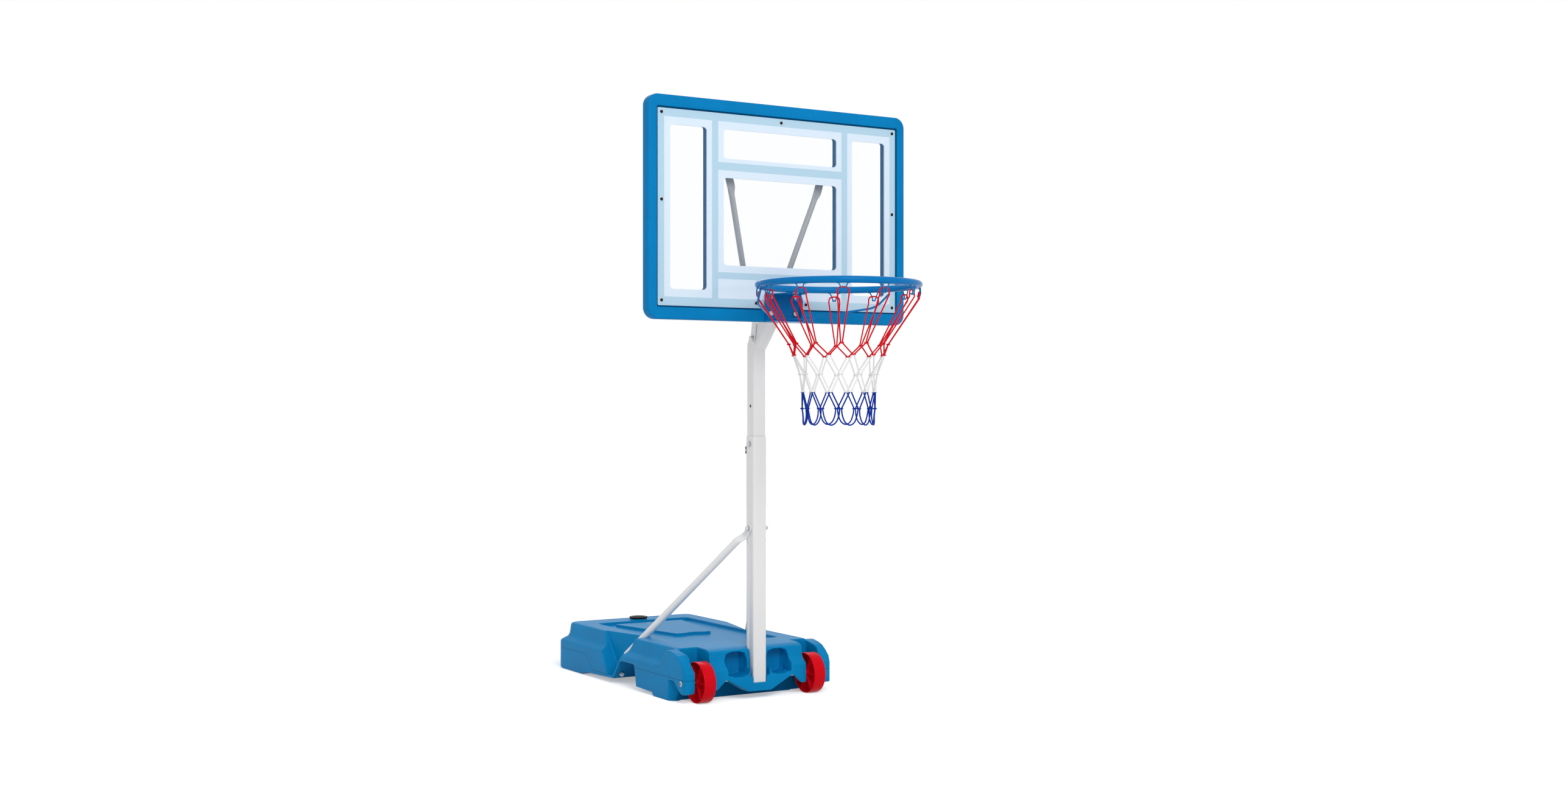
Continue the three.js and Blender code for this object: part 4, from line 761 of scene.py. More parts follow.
class HOOP_OT_stage(bpy.types.Operator):
    """Builds the camera, the lamps, the pale floor and the finishes"""

    bl_idname = "hoop.stage"
    bl_label = "Stage and finishes"

    def execute(self, context):
        scene = context.scene
        scene.view_settings.view_transform = "Standard"
        self.make_camera(scene)
        self.make_lamps(scene)
        self.make_world(scene)
        self.make_floor(scene)
        make_finishes(scene.hoop_colours)
        finish_nodes()
        return {"FINISHED"}

    def make_camera(self, scene):
        data = bpy.data.cameras.new("camera")
        data.sensor_width = 36
        data.lens = 40.606
        data.shift_y = 0.00411
        data.clip_end = 60
        camera = bpy.data.objects.new("camera", data)
        camera.location = (-2.5008, -4.33005, 0.8128)
        camera.rotation_euler = (math.pi / 2, 0, math.radians(-31.424))
        scene.collection.objects.link(camera)
        scene.camera = camera

    def make_lamps(self, scene):
        target = Vector((0, 0, 0.8))
        lamps = (
            ("key", (-1.0, -4.6, 3.6), 2.4, 120),
            ("side", (-4.4, 0.4, 2.4), 2.2, 8),
            ("back", (1.4, 3.6, 3.2), 2.4, 34),
        )
        for name, place, size, power in lamps:
            data = bpy.data.lights.new(name, "AREA")
            data.size = size
            data.energy = power
            lamp = bpy.data.objects.new(name, data)
            lamp.location = place
            lamp.rotation_euler = (target - Vector(place)).to_track_quat("-Z", "Y").to_euler()
            scene.collection.objects.link(lamp)

    def seen(self, tree):
        """1 for what the eye sees, straight, mirrored or through the panel, and 0 for light on surfaces."""
        rays = add(tree, "ShaderNodeLightPath").outputs
        return any_of(tree, [rays[f"Is {kind} Ray"] for kind in ("Camera", "Transmission", "Glossy")])

    def make_world(self, scene):
        """A white room that looks brighter than it shines."""
        scene.world = bpy.data.worlds.new("studio")
        scene.world.use_nodes = True
        tree = scene.world.node_tree
        tree.nodes.clear()
        strength = add(tree, RANGE, [self.seen(tree), 0, 1, 0.58, 1.0])
        light = add(tree, "ShaderNodeBackground", {"Color": (1, 1, 1, 1), "Strength": strength})
        add(tree, "ShaderNodeOutputWorld", [light])

    def make_floor(self, scene):
        """A round painted floor that fades into the room by a glow which grows with distance."""
        rings = [[Vector((x, y, 0)) for x, y in circle(radius, 48)] for radius in (9.0, 4.0, 1.5)]
        points, faces = loft(rings, capped=False)
        faces.append(tuple(range(2 * 48, 3 * 48)))
        mesh = bpy.data.meshes.new("floor")
        mesh.from_pydata([tuple(point) for point in points], [], faces)
        floor = new_object("floor", mesh)
        made, tree, place = new_finish("painted_studio_floor")
        away = add(tree, "ShaderNodeVectorMath", [place], operation="LENGTH").outputs["Value"]
        strength = add(tree, RANGE, [away, 1.6, 3.2, 0.36, 0.54], interpolation_type="SMOOTHSTEP")
        glow = add(tree, MATH, [self.seen(tree), strength], operation="MULTIPLY")
        speck = add(tree, NOISE, {"Vector": place, "Scale": 1 / (333 * MM), "Detail": 2.0})
        rough = add(tree, RANGE, [speck, 0, 1, 0.8, 0.9])
        tone = (*scene.hoop_colours.floor, 1)
        matt = add(tree, "ShaderNodeBsdfDiffuse", {"Color": tone, "Roughness": rough})
        emission = add(tree, "ShaderNodeEmission", {"Color": (1, 1, 1, 1), "Strength": glow})
        total = add(tree, "ShaderNodeAddShader", [matt, emission])
        add(tree, "ShaderNodeOutputMaterial", [total])
        mesh.materials.append(made)


class HOOP_OT_board(bpy.types.Operator):
    """Moulds the board's frame with its ribs and windows, and lays the clear panel in it"""

    bl_idname = "hoop.board"
    bl_label = "Board"

    def execute(self, context):
        self.make_frame()
        panel = bevelled(built("panel", prism("y", outline(*PANEL), *PANEL_FACES)), 0.4)
        piece("panel", panel, "upper", "clear_sheet", ["clear_panel"])
        places = [(spot(x, 3.7, z), (math.pi / 2, 0.7 * i, 0)) for i, (x, z) in enumerate(SCREWS)]
        screws = repeated("panel_screws", round_screw(16), places)
        nodes = [f"panel_screw_{i + 1}" for i in range(len(SCREWS))]
        piece("panel_screws", screws, "upper", "screw_black", nodes)
        profile = [(4.3, -0.05), (5.9, -0.05), (5.7, 0.15), (4.5, 0.15)]
        seat = spun(profile, 32, True)
        places = [(spot(x, 3.85, z), (math.pi / 2, 0, 0)) for x, z in SCREWS]
        piece("screw_seats", repeated("screw_seats", seat, places), "upper", "clear_sheet", finish="seat")
        softened("mount_plate", "board_mount_plate", "upper", "pole_white", 0.6)
        return {"FINISHED"}

    def make_frame(self):
        """One deep block with rounded edges, less its recess, windows and the pocket behind."""
        back, face = BOARD_DEPTH + 3, PANEL_SEAT + FRAME_WALL
        quarter = [i * math.pi / 10 for i in range(6)]
        front = [(5 * (1 - math.sin(a)), 5 * (1 - math.cos(a))) for a in quarter]
        levels = front + [(inset, BOARD_DEPTH - level) for inset, level in reversed(front)]
        rings = [self.ring(grown(BOARD, -inset), level, 10) for inset, level in levels]
        made = built("board_frame", loft(rings))
        cuts = [prism("y", outline(*RECESS), -3, PANEL_SEAT)]
        cuts += [prism("y", outline(*window), -3, back) for window in OPENINGS]
        carved(made, cuts + [self.pocket(face, back)])
        piece("board_frame", bevelled(made, 1.0), "upper", "board_blue", ["backboard_frame"])

    def ring(self, area, level, steps=6):
        return [spot(a, level, b) for a, b in outline(*area, steps)]

    def pocket(self, face, back):
        """The hollow behind the face, round the walls, ribs and bosses that stay."""
        pocket = built("pocket", prism("y", outline(*grown(BOARD, -FRAME_WALL)), face, back))
        outside = grown(RECESS, FRAME_WALL)
        rim = ((outside, face - 1), (outside, back + 1), (RECESS, back + 1), (RECESS, face - 1))
        walls = [loft([self.ring(area, level) for area, level in rim], closed=True)]
        walls += [prism("y", outline(*grown(window, FRAME_WALL)), face - 1, back + 1) for window in OPENINGS]
        ribs = [(2.5, 600, 0.5, (x, BOARD_MIDDLE)) for x in (-380, -190, 0, 190, 380)]
        ribs += [(830, 2.5, 0.5, (0, z)) for z in (1134, 1324, 1514)]
        carved(pocket, walls + [prism("y", outline(*rib, steps=1), face - 1, 30) for rib in ribs])
        carved(pocket, [prism("y", outline(*RECESS), 24, back)], "UNION")
        bosses = [prism("y", outline(*PLATE, steps=2), face - 2, back + 2)]
        bosses += [rod("y", (x, 0, z), 5, face - 2, 24, 24) for x, z in SCREWS]
        bosses += [rod("y", (x, 0, z), 8.5, face - 2, back + 2, 32) for x, z in BRACE_TOPS]
        return carved(pocket, bosses)


class HOOP_OT_rim(bpy.types.Operator):
    """Rolls the ring with its net hooks, the brace rod, the bracket and its four bolts"""

    bl_idname = "hoop.rim"
    bl_label = "Rim"

    def execute(self, context):
        middle = spot(0, RING_BACK, RING_HEIGHT)
        tube = []
        for i in range(128):
            turn = Matrix.Rotation(ALL_ROUND * i / 128, 3, "Z")
            section = [(RING_RADIUS + a, 0, b) for a, b in circle(RING_TUBE, 28)]
            tube.append([middle + turn @ Vector(point) * MM for point in section])
        ring = built("ring", loft(tube, closed=True))
        hook = self.hook(context.scene.hoop_sizes.hook_wire / MM)
        hooks = repeated("hooks", hook, [(middle, (0, 0, i * HOOK_TURN)) for i in range(HOOKS)])
        piece("hooks", hooks, "upper", "rim_blue", ["rim_ring"])
        piece("ring", ring, "upper", "rim_blue", ["rim_ring"])
        softened("bracket", "rim_bracket", "upper", "rim_blue", 0.9, 3)
        piece("brace_rod", self.brace_rod(), "upper", "rim_blue", ["rim_brace_rod"])
        for kind, part, y, way in (("bolt", hex_bolt(54, 0), -3.6, -1), ("nut", hex_nut(), 39.9, 1)):
            places = [(spot(x, y, z), upright((0, way, 0))) for x, z in RIM_BOLTS]
            nodes = [f"rim_{kind}_{i}" for i in range(1, 5)]
            piece(f"rim_{kind}s", repeated(f"rim_{kind}s", part, places), "upper", "zinc_steel", nodes)
        return {"FINISHED"}

    def brace_rod(self):
        """One bent wire from both sides of the ring to the bracket's lower lip."""
        angle = math.radians(16)
        x, y = RING_RADIUS * math.cos(angle), RING_BACK + RING_RADIUS * math.sin(angle)
        half = [(x, y, RING_HEIGHT - 12.8), (185, -181, 1075), (39, -19.6, 1045.8)]
        points = [spot(*point) for point in half + [(-x, y, z) for x, y, z in reversed(half)]]
        return swept(bent(points, 22 * MM), circle(2.8, 16))

    def hook(self, wire):
        """Wire loop under the ring, with both ends welded to it."""
        start = wire / 4 - RING_TUBE
        half = [(16, 0, 0), (11.5, 3.0, 0.05), (8.2, 3.6, 0.3), (5.2, 4.2, 0.6), (3.2, 1.6, 0.93)]
        points = half + [(0, -4.2, 0.84)] + [(-across, out, down) for across, out, down in reversed(half)]
        path = [at_origin(across, -RING_RADIUS - out, start - down * 24) for across, out, down in points]
        return swept(smooth_path(path, 6), circle(wire / 2, 12))


def ring_spot(angle, out, across, drop):
    """A place near the ring: turned from the front, at a radius, and so far below its middle."""
    place = Matrix.Rotation(angle, 3, "Z") @ Vector((across, -out, 0))
    return spot(place.x, place.y + RING_BACK, RING_HEIGHT - drop)


class HOOP_OT_net(bpy.types.Operator):
    """Knots the net: twelve loops on the hooks, four crossed rows and a row of tails"""

    bl_idname = "hoop.net"
    bl_label = "Net"

    def knot_angle(self, row, column):
        return (column + (row % 2) / 2) * HOOK_TURN

    def cord_end(self, row, column, side):
        return ring_spot(self.knot_angle(row, column), ROW_RADII[row], side * 2.1, ROW_DROPS[row])

    def paths(self):
        """Every cord's path, smooth between its knots."""
        last = len(ROW_DROPS) - 1
        half = [(-14.5, 36), (-14.2, 27), (-10, 20.5), (0, 18.7)]
        loop = half + [(-across, drop) for across, drop in reversed(half[:-1])]
        tail = [(0.1, 0.45), (0.25, 0.84), (0.5, 1), (0.75, 0.84), (0.9, 0.45)]
        fall = TAIL_DROP - ROW_DROPS[last]
        made = []
        for column in range(HOOKS):
            points = [ring_spot(column * HOOK_TURN, RING_RADIUS, across, drop) for across, drop in loop]
            ends = self.cord_end(0, column, -1), self.cord_end(0, column, 1)
            made.append([ends[0], *smooth_path(points, 5), ends[1]])
            for row in range(last):
                right = column + row % 2
                made.append([self.cord_end(row, column, -1), self.cord_end(row + 1, right - 1, 1)])
                made.append([self.cord_end(row, column, 1), self.cord_end(row + 1, right, -1)])
            angle = self.knot_angle(last, column)
            points = [
                ring_spot(angle + share * HOOK_TURN, TAIL_RADIUS, 0, ROW_DROPS[last] + down * fall)
                for share, down in tail
            ]
            ends = self.cord_end(last, column, 1), self.cord_end(last, column + 1, -1)
            made.append(smooth_path([ends[0], *points, ends[1]], 5))
        return made

    def execute(self, context):
        points, edges = [], []
        for path in self.paths():
            start = len(points)
            points += [tuple(point) for point in path]
            edges += [(start + i, start + i + 1) for i in range(len(path) - 1)]
        knots, turns = [False] * len(points), [0.0] * len(points)
        for row in range(len(ROW_DROPS)):
            for column in range(HOOKS):
                points.append(tuple(self.cord_end(row, column, 0)))
                knots.append(True)
                turns.append(self.knot_angle(row, column) + 0.25 * math.sin(7.3 * column + 2.1 * row))
        mesh = bpy.data.meshes.new("net_paths")
        mesh.from_pydata(points, edges, [])
        mesh.attributes.new("knot", "BOOLEAN", "POINT").data.foreach_set("value", knots)
        mesh.attributes.new("turn", "FLOAT", "POINT").data.foreach_set("value", turns)
        values = {"Cord Diameter": context.scene.hoop_sizes.cord, "Cord Sides": 8}
        made = run_tree(new_object("net_cords", mesh), self.tree(values), values)
        settle(made.data)
        piece("net_cords", made, "upper", "net_cord", ["net"], degrees=60)
        return {"FINISHED"}

    def tree(self, values):
        """Cords swept along the paths, and a wrap of cord round each crossing."""
        tree, group = geometry_tree("knotted_net", values)
        knot = add(tree, "GeometryNodeInputNamedAttribute", {"Name": "knot"}, data_type="BOOLEAN")
        inputs = {"Geometry": group["Geometry"], "Selection": knot.outputs["Attribute"]}
        split = add(tree, "GeometryNodeSeparateGeometry", inputs).outputs
        radius = add(tree, MATH, [group["Cord Diameter"], 0.5], operation="MULTIPLY")
        curve = add(tree, "GeometryNodeMeshToCurve", {"Mesh": split["Inverted"]})
        cords = self.cord(tree, curve, radius, group["Cord Sides"])
        wrap = add(tree, "GeometryNodeCurvePrimitiveCircle", {"Resolution": 16, "Radius": 1.0})
        wide, deep = (add(tree, MATH, [radius, share], operation="MULTIPLY") for share in (2.65, 1.75))
        stretch = add(tree, COMBINE, [wide, deep, 1.0])
        oval = add(tree, "GeometryNodeTransform", {"Geometry": wrap, "Scale": stretch})
        around = self.cord(tree, oval, radius, group["Cord Sides"])
        turn = add(tree, "GeometryNodeInputNamedAttribute", {"Name": "turn"}, data_type="FLOAT")
        turn = turn.outputs["Attribute"]
        tilt = add(tree, MATH, [turn], operation="SINE")
        lean = add(tree, MATH, [tilt, 0.12], operation="MULTIPLY")
        spin = add(tree, COMBINE, [0.0, lean, turn])
        points = add(tree, "GeometryNodeMeshToPoints", {"Mesh": split["Selection"]})
        inputs = {"Points": points, "Instance": around, "Rotation": spin}
        placed = add(tree, "GeometryNodeInstanceOnPoints", inputs)
        whole = add(tree, "GeometryNodeJoinGeometry")
        for some in (cords, placed):
            tree.links.new(some.outputs[0], whole.inputs[0])
        close_tree(tree, whole, FINISHES["cord"])
        return tree

    def cord(self, tree, curve, radius, sides):
        """Sweeps a round cord that carries its lay: the profile's cosine and sine, and the length run."""
        held = add(tree, "GeometryNodeCaptureAttribute", {"Geometry": curve})
        held.capture_items.new("FLOAT", "run")
        run = add(tree, "GeometryNodeSplineParameter").outputs["Length"]
        tree.links.new(run, held.inputs["run"])
        profile = add(tree, "GeometryNodeCurvePrimitiveCircle", {"Resolution": sides, "Radius": radius})
        face = add(tree, "GeometryNodeCaptureAttribute", {"Geometry": profile})
        face.capture_items.new("VECTOR", "around")
        around = add(tree, "GeometryNodeInputPosition").outputs["Position"]
        tree.links.new(around, face.inputs["around"])
        inputs = {"Curve": held, "Profile Curve": face, "Fill Caps": True}
        tube = add(tree, "GeometryNodeCurveToMesh", inputs)
        across = add(tree, SPLIT, [face.outputs["around"]]).outputs
        lay = add(tree, COMBINE, [across["X"], across["Y"], held.outputs["run"]])
        domain = {"data_type": "FLOAT_VECTOR", "domain": "POINT"}
        inputs = {"Geometry": tube, "Name": "lay", "Value": lay}
        return add(tree, "GeometryNodeStoreNamedAttribute", inputs, **domain)


class HOOP_OT_poles(bpy.types.Operator):
    """Forms the two square poles, with the elbow, the setting holes, the height bolt and the clamp knob"""

    bl_idname = "hoop.poles"
    bl_label = "Poles"

    def execute(self, context):
        self.make_lower()
        made = built("upper_tube", self.bent_tube(UPPER_POLE, 0))
        carved(made, [self.bent_tube(UPPER_POLE - 2 * POLE_WALL, 3)])
        carved(made, [rod("x", (0, POLE_BACK, z), 4.5, -30, 30, 28) for z in HOLE_HEIGHTS])
        piece("upper_tube", bevelled(made, 0.3), "upper", "pole_white", ["upper_pole"])
        softened("glide_plug", "pole_glide_plug", "upper", "knob_black", 0.5)
        place = spot(-21.3, POLE_BACK, HOLE_HEIGHTS[1]), upright((-1, 0, 0))
        head = repeated("height_bolt_head", hex_bolt(2), [place])
        piece("height_bolt_head", head, "base", "zinc_steel", ["height_bolt"])
        piece("knob", self.knob(), "knob", "knob_black", ["clamp_knob"])
        return {"FINISHED"}

    def make_lower(self):
        """The lower pole, hollow, with the clamp's nut, the strut bolt's hole and the axle's hole."""
        ends = [(POLE_BACK, z, 1, 0) for z in LOWER_POLE_ENDS]
        beyond = [(POLE_BACK, z + past, 1, 0) for z, past in zip(LOWER_POLE_ENDS, (-5.3, 5))]
        made = built("lower_tube", self.tube(ends, LOWER_POLE))
        core = self.tube(beyond, LOWER_POLE - 2 * POLE_WALL)
        nut = prism("y", [(a, KNOB_HEIGHT + b) for a, b in circle(8.08, 6)], 158.5, 163)
        carved(made, [core])
        carved(made, [nut], "UNION")
        holes = ((*STRUT_TOP, 4.4), (*AXLE[1:], 5.4))
        carved(made, [rod("x", (0, y, z), radius, -30, 30, 24) for y, z, radius in holes])
        piece("lower_tube", bevelled(made, 0.3), "base", "pole_white", ["lower_pole"])

    def tube(self, stations, width):
        """Square tube through stations given as (back, height, back share, up share)."""
        section = outline(width, width, 4.5 if width > 40 else 3.6)
        return loft([[spot(a, y + back * b, z + up * b) for a, b in section] for y, z, back, up in stations])

    def bent_tube(self, width, gap):
        """The upper pole's tube, which turns 45 degrees forward in four stations."""
        top = PLATE_FACE - gap
        fold = math.tan(math.pi / 8)
        stations = [(POLE_BACK, UPPER_POLE_END - gap, 1, 0), (POLE_BACK, BEND_HEIGHT - 6, 1, fold * 0.3)]
        stations += [(POLE_BACK - 1, BEND_HEIGHT + 2, 1, fold)]
        stations += [(POLE_BACK - 7, BEND_HEIGHT + 8, 0.86, fold * 1.9)]
        stations += [(top, BEND_HEIGHT + POLE_BACK - top, 0, math.sqrt(2))]
        return self.tube(stations, width)

    def knob(self):
        """Five-lobed star grip on a hub, about the stud's axis."""
        levels = ((0.86, 0), (0.97, 0.8), (1, 2.2), (1, 11.5), (0.96, 13), (0.84, 14))
        reach = [16 * (0.87 + 0.13 * math.cos(ALL_ROUND * 5 * i / 100)) for i in range(100)]
        star = [(a * out, b * out) for (a, b), out in zip(circle(1, 100), reach)]
        grip = loft([[at_origin(a * scale, b * scale, height) for a, b in star] for scale, height in levels])
        hub = spun([(6.5, 13), (6.5, 21), (5.6, 22), (0.5, 22)], 40)
        stud = spun([(4, -6), (4, 5)], 24)
        return moved(joined([grip, hub, stud]), (0, 163.3, KNOB_HEIGHT), (0, 1, 0))


def nearest_start(before, ring):
    """The same ring, started at the point that follows on best, and run the same way round."""
    choices = []
    for way in (ring, ring[::-1]):
        for shift in range(len(way)):
            choice = way[shift:] + way[:shift]
            choices.append((sum((a - b).length for a, b in zip(before, choice)), choice))
    return min(choices, key=lambda choice: choice[0])[1]


def square_to(thin, start, end):
    """The direction from start to end, laid flat against a thin side."""
    along = end - start
    return (along - thin * along.dot(thin)).normalized()


def flat_ended(ends, diameter, flat=4, width=24, reach=26, taper=24, tip=13):
    """Round tube between two bolts, pressed flat at both ends with a crease where it flattens.

    Each end is given as (bolt, way through the flat, way along it, shift of the round tube)."""
    starts = [bolt + along * (reach + taper) + thin * shift for bolt, thin, along, shift in ends]
    direction = (starts[1] - starts[0]).normalized()
    tube_thin = square_to(direction, Vector((0, 0, 0)), ends[0][1])
    tube_wide = tube_thin.cross(direction)
    radius = diameter / 2

    def tube_side(way):
        return max((tube_wide, -tube_wide, tube_thin, -tube_thin), key=lambda side: side.dot(way))

    def ring(center, wide, thin, half_wide, half_thin=flat / 2, power=0.5, crease=0):
        points = []
        for i in range(40):
            angle = ALL_ROUND * (i + 0.5) / 40
            c, s = math.cos(angle), math.sin(angle)
            a = half_wide * math.copysign(abs(c) ** power, c)
            b = half_thin * math.copysign(abs(s) ** power, s) * (1 - crease * max(0, 1 - abs(c) * 2.2))
            points.append((center + wide * a + thin * b) * MM)
        return points

    halves = []
    for (bolt, thin, along, shift), sense in zip(ends, (1, -1)):
        wide = thin.cross(along) * sense
        rings = []
        for i in range(9):
            turn = math.pi / 2 * i / 8
            half_wide = width / 2 * max(math.sin(turn), 0.12)
            rings.append(ring(bolt - along * tip * math.cos(turn), wide, thin, half_wide))
        rings.append(ring(bolt + along * reach * 0.92, wide, thin, width / 2))
        for i in range(1, 10):
            share = i / 9
            soft = eased(share)
            center = bolt + along * (reach + taper * share) + thin * shift * soft
            side, out = ((way * (1 - soft) + tube_side(way) * soft).normalized() for way in (wide, thin))
            half_wide, half_thin = lerp(width / 2, radius, soft), lerp(flat / 2, radius, soft)
            crease = 0.4 * math.sin(math.pi * share)
            rings.append(ring(center, side, out, half_wide, half_thin, lerp(0.5, 1, soft), crease))
        halves.append(rings)
    rings = halves[0]
    for following in reversed(halves[1]):
        rings.append(nearest_start(rings[-1], following))
    points, faces = loft(rings)
    return [point - Vector((0, MIDDLE, 0)) * MM for point in points], faces


def strut_foot(side):
    """Where a strut's foot bolt meets the tank's sloping notch."""
    share = (37.5 - 143) / (22 - 143)
    return Vector((side * 216, 463 + share * 103, 37.5))


class HOOP_OT_tubes(bpy.types.Operator):
    """Presses the two struts and the two board braces, and bolts them on"""

    bl_idname = "hoop.tubes"
    bl_label = "Struts and braces"

    def execute(self, context):
        for side, name in SIDES:
            thin, back = Vector((side, 0, 0)), Vector((0, 1, 0))
            top = Vector((side * STRUT_OUT, *STRUT_TOP))
            foot = strut_foot(side) + FOOT_NORMAL * 2.3
            ends = [(foot, FOOT_NORMAL, square_to(FOOT_NORMAL, foot, top), 18)]
            ends += [(top, thin, square_to(thin, top, foot), 18)]
            strut = flat_ended(ends, 21)
            piece(f"strut_tube_{name}", strut, "base", "pole_white", [f"strut_{name}"], degrees=40)
            low = Vector((side * BRACE_OUT, *ELBOW))
            high = Vector((side * BRACE_TOPS[1][0], 37.3, BRACE_TOPS[1][1]))
            ends = [(low, thin, square_to(thin, low, high), 16), (high, back, square_to(back, high, low), 8)]
            brace = flat_ended(ends, 16, reach=42, taper=28)
            # Each brace takes the white coat with painted shade above the board's lower edge
            piece(f"brace_tube_{name}", brace, "upper", "pole_white", [f"board_brace_{name}"], "brace", 40)
        self.make_fasteners()
        return {"FINISHED"}

    def make_fasteners(self):
        """Each row holds a piece, its body, one part, its places, and the CAD nodes that it stands for."""
        left, right, back = upright((-1, 0, 0)), upright((1, 0, 0)), upright((0, 1, 0))
        over, under = upright(FOOT_NORMAL), upright(-FOOT_NORMAL)
        tops = [(spot(x, PLATE_FACE, z), back) for x, z in BRACE_TOPS]
        heads = [(spot(*(strut_foot(side) + FOOT_NORMAL * 4.6)), over) for side, name in SIDES]
        nuts = [(spot(*(strut_foot(side) - FOOT_NORMAL * 7.8)), under) for side, name in SIDES]
        rows = [("brace_screws", "upper", round_screw(20), tops, ["brace_screw_left", "brace_screw_right"])]
        for name, body, out, place, reach, joint in (
            ("strut", "base", STRUT_OUT + 2.6, STRUT_TOP, 62.3, "strut_top"),
            ("brace", "upper", BRACE_OUT + 2.6, ELBOW, 58.3, "elbow"),
        ):
            head, nut = [(spot(-out, *place), left)], [(spot(out, *place), right)]
            rows.append((f"{name}_bolt", body, hex_bolt(reach), head, [f"{joint}_bolt"]))
            rows.append((f"{name}_nut", body, hex_nut(), nut, [f"{joint}_nut"]))
        for kind, part, places in (("bolt", hex_bolt(22.9), heads), ("nut", hex_nut(), nuts)):
            nodes = [f"strut_foot_{kind}_{name}" for side, name in SIDES]
            rows.append((f"foot_{kind}s", "base", part, places, nodes))
        for name, body, part, places, nodes in rows:
            piece(name, repeated(name, part, places), body, "zinc_steel", nodes)


class HOOP_OT_wheels(bpy.types.Operator):
    """Moulds the two ribbed wheels and puts the axle and its push nuts in"""

    bl_idname = "hoop.wheels"
    bl_label = "Wheels"

    def execute(self, context):
        for side, name in SIDES:
            wheel = self.wheel(side * WHEEL_OUT)
            piece(f"tyre_{name}", wheel, f"wheel_{name}", "wheel_red", [f"wheel_{name}"], degrees=40)
        half = [(5, AXLE_OUT - 0.6), (4.4, AXLE_OUT), (3.5, AXLE_OUT)]
        ends = [(5, -AXLE_OUT + 0.6), *half, (3.5, -AXLE_OUT), (4.4, -AXLE_OUT)]
        piece("axle", turned("x", AXLE, ends, 32, True), "base", "zinc_steel", ["axle_rod"])
        cup = [(5.3, 0), (7.2, 0), (7.5, 0.4), (7.5, 1.2), (6.6, 2), (5.3, 1.6)]
        for side, name in SIDES:
            nut = turned("x", AXLE, [(radius, side * (PUSH_NUT_OUT + out)) for radius, out in cup], 36, True)
            piece(f"push_nut_{name}", nut, "base", "zinc_steel", [f"axle_push_nut_{name}"])
        return {"FINISHED"}

    def wheel(self, out):
        """Hollow tread and hub on a thin web, with six ribs through it."""
        half = [(5.4, 17.2), (6.2, 18), (10.2, 18), (11, 17.2), (11.4, 2.6), (12.6, 1.5), (51.2, 1.5)]
        half += [(52.4, 2.6), (53.3, 16.6), (54.2, 17.8), (55.3, 18), (56.2, 17.2), (56.5, 16), (56.5, 6)]
        profile = half + [(radius, -along) for radius, along in reversed(half)]
        middle = (out, *AXLE[1:])
        made = built("wheel", turned("x", middle, profile, 96, True))
        ribs = []
        for i in range(6):
            turn = Matrix.Rotation(ALL_ROUND * (i + 0.5) / 6, 3, "X")
            points, faces = prism("z", outline(30, 3, 0.6, steps=2), 10.4, 53.2, at_origin)
            ribs.append(([spot(*middle) + turn @ point for point in points], faces))
        return bevelled(carved(made, ribs, "UNION"), 0.5)


class HOOP_OT_tank(bpy.types.Operator):
    """Blow-moulds the base tank's soft-edged skin, and screws the fill cap on its seal"""

    bl_idname = "hoop.tank"
    bl_label = "Tank and cap"

    def execute(self, context):
        self.make_skin()
        ring = [(22, 146.3), (26.6, 146.3), (27, 146.8), (27, 147.8), (26.6, 148.3), (22, 148.3)]
        seal = turned("z", (0, CAP_BACK, 0), ring, 64, True)
        piece("seal", seal, "seal", "seal_rubber", ["cap_seal"])
        self.make_cap()
        return {"FINISHED"}

    def make_cap(self):
        """Screw cap with a skirt, a gripped rim and a bar across its sunk top."""
        outside = [(18.6, -14), (21.6, -14), (21.6, -0.5), (28, 0), (28.5, 0.5), (28.5, 2.7)]
        outside += [(27.8, 3.4), (19.8, 3.4), (19, 2.8)]
        inside = [(19, -2.2), (18.2, -2.6), (0.6, -2.6), (0.6, -5.6), (18.6, -5.6)]
        cap = built("cap", turned("z", (0, CAP_BACK, CAP_SEAT), outside + inside, 96, True))
        grips = [rod("z", (a, CAP_BACK + b, CAP_SEAT), 1.3, -1, 5, 10) for a, b in circle(29.1, 32)]
        carved(cap, [joined(grips)])
        bar = outline(39.4, 5, 1.5, (0, CAP_BACK), 3)
        carved(cap, [prism("z", bar, CAP_SEAT - 3, CAP_SEAT + 3.2)], "UNION")
        piece("cap", bevelled(cap, 0.4), "cap", "knob_black", ["fill_cap"])

    def make_skin(self):
        """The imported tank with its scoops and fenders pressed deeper, then skinned and smoothed all round."""
        made = node_copy("tank_skin", "base_tank")
        scoop = ((38, 69), (101, 69), (101, 98), (38, 98))
        carved(made, [prism("y", [(side * x, z) for x, z in scoop], 90, 164) for side, name in SIDES])
        fender = [(238, 150), (238, 146), (228, 142), (163, 131), (150, 125.5)]
        fender += [(114, 87), (104, 87), (100, 150)]
        carved(made, [prism("x", fender, side * 211, side * 205) for side, name in SIDES])
        work = bmesh.new()
        work.from_mesh(made.data)
        work.from_mesh(mesh_of("plug", rod("z", (0, CAP_BACK, 0), 23.5, 128, 145.6, 40)))
        work.to_mesh(made.data)
        work.free()
        finest = {"mode": "SHARP", "octree_depth": 9, "scale": 0.93, "sharpness": 1.0}
        changed(made, "REMESH", use_remove_disconnected=False, **finest)
        keep_outer(made.data)
        changed(made, "SMOOTH", factor=0.5, iterations=12)
        changed(made, "DECIMATE", ratio=min(1, 190000 / (2 * len(made.data.polygons))))
        piece("tank_skin", made, "base", "tank_blue", ["base_tank"], degrees=80)


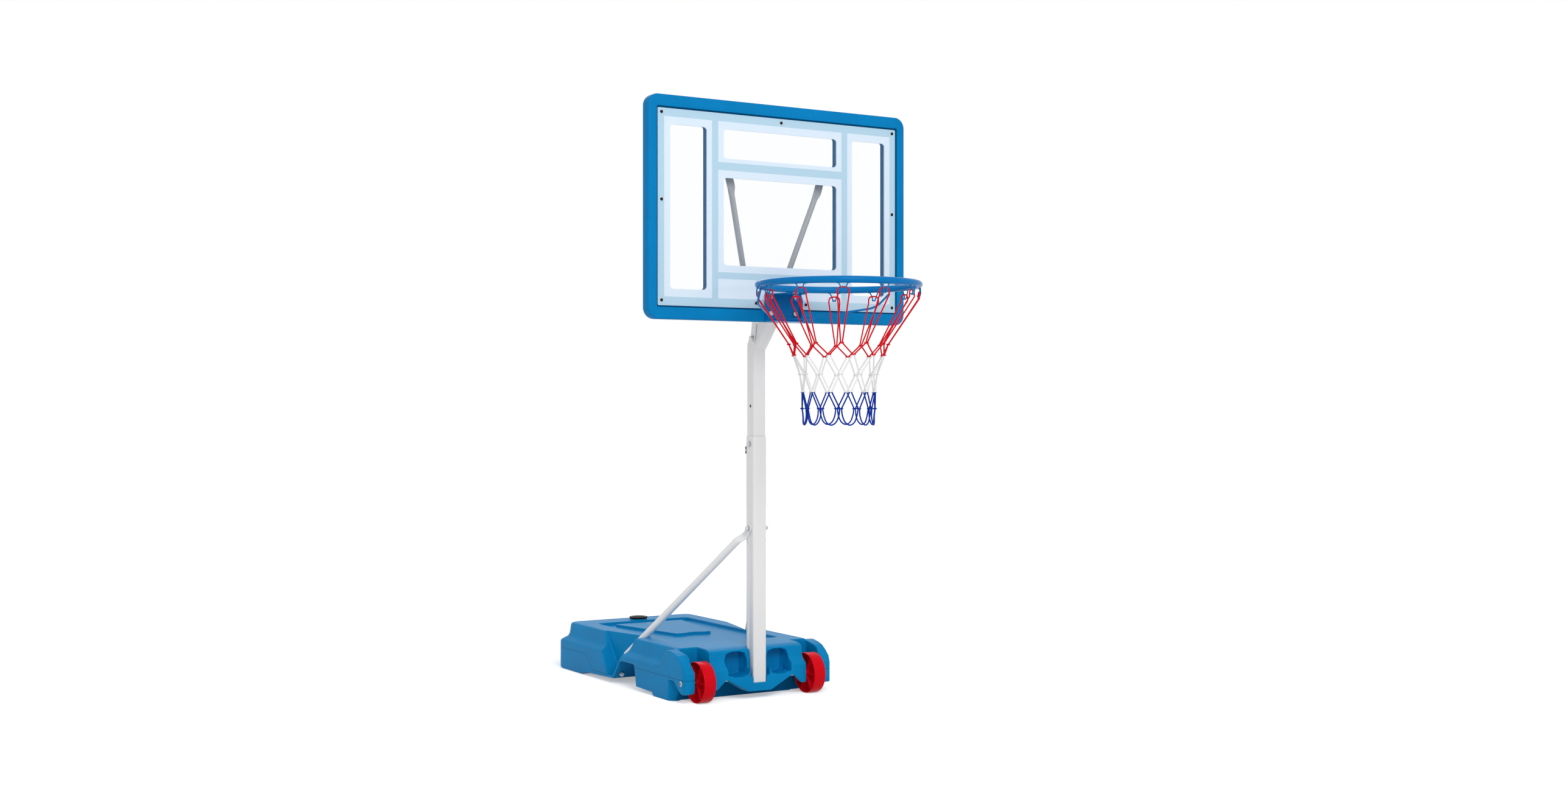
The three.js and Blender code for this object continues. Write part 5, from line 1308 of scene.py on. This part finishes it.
def keep_outer(mesh):
    """Keeps only the closed skin that reaches furthest back and front."""
    work = bmesh.new()
    work.from_mesh(mesh)
    seen, islands = set(), []
    for start in work.verts:
        if start in seen:
            continue
        island, queue = [], [start]
        seen.add(start)
        while queue:
            vert = queue.pop()
            island.append(vert)
            others = {edge.other_vert(vert) for edge in vert.link_edges} - seen
            seen |= others
            queue += others
        islands.append(island)
    islands.sort(key=lambda island: max(v.co.y for v in island) - min(v.co.y for v in island))
    for island in islands[:-1]:
        bmesh.ops.delete(work, geom=island, context="VERTS")
    bmesh.ops.recalc_face_normals(work, faces=work.faces)
    work.to_mesh(mesh)
    work.free()


class HOOP_PT_panel(bpy.types.Panel):
    """Lists the hoop's pieces in the sidebar"""

    bl_idname = "HOOP_PT_panel"
    bl_label = "Poolside basketball hoop"
    bl_space_type = "VIEW_3D"
    bl_region_type = "UI"
    bl_category = "Hoop"

    def draw(self, context):
        column = self.layout.column(align=True)
        for operator in OPERATORS:
            column.operator(operator.bl_idname)
        for group in (context.scene.hoop_sizes, context.scene.hoop_colours):
            box = self.layout.box()
            for name in group.bl_rna.properties.keys():
                if name not in ("name", "rna_type"):
                    box.prop(group, name)


OPERATORS = (
    HOOP_OT_stage,
    HOOP_OT_board,
    HOOP_OT_rim,
    HOOP_OT_net,
    HOOP_OT_poles,
    HOOP_OT_tubes,
    HOOP_OT_wheels,
    HOOP_OT_tank,
)
CLASSES = (HoopColours, HoopSizes, *OPERATORS, HOOP_PT_panel)


def register():
    for cls in CLASSES:
        bpy.utils.register_class(cls)
    bpy.types.Scene.hoop_colours = bpy.props.PointerProperty(type=HoopColours)
    bpy.types.Scene.hoop_sizes = bpy.props.PointerProperty(type=HoopSizes)


def unregister():
    del bpy.types.Scene.hoop_sizes
    del bpy.types.Scene.hoop_colours
    for cls in reversed(CLASSES):
        bpy.utils.unregister_class(cls)


def call(operator):
    """Runs an operator by its id."""
    group, name = operator.bl_idname.split(".")
    getattr(getattr(bpy.ops, group), name)()


def main():
    register()
    for operator in OPERATORS:
        call(operator)


if __name__ == "__main__":
    main()
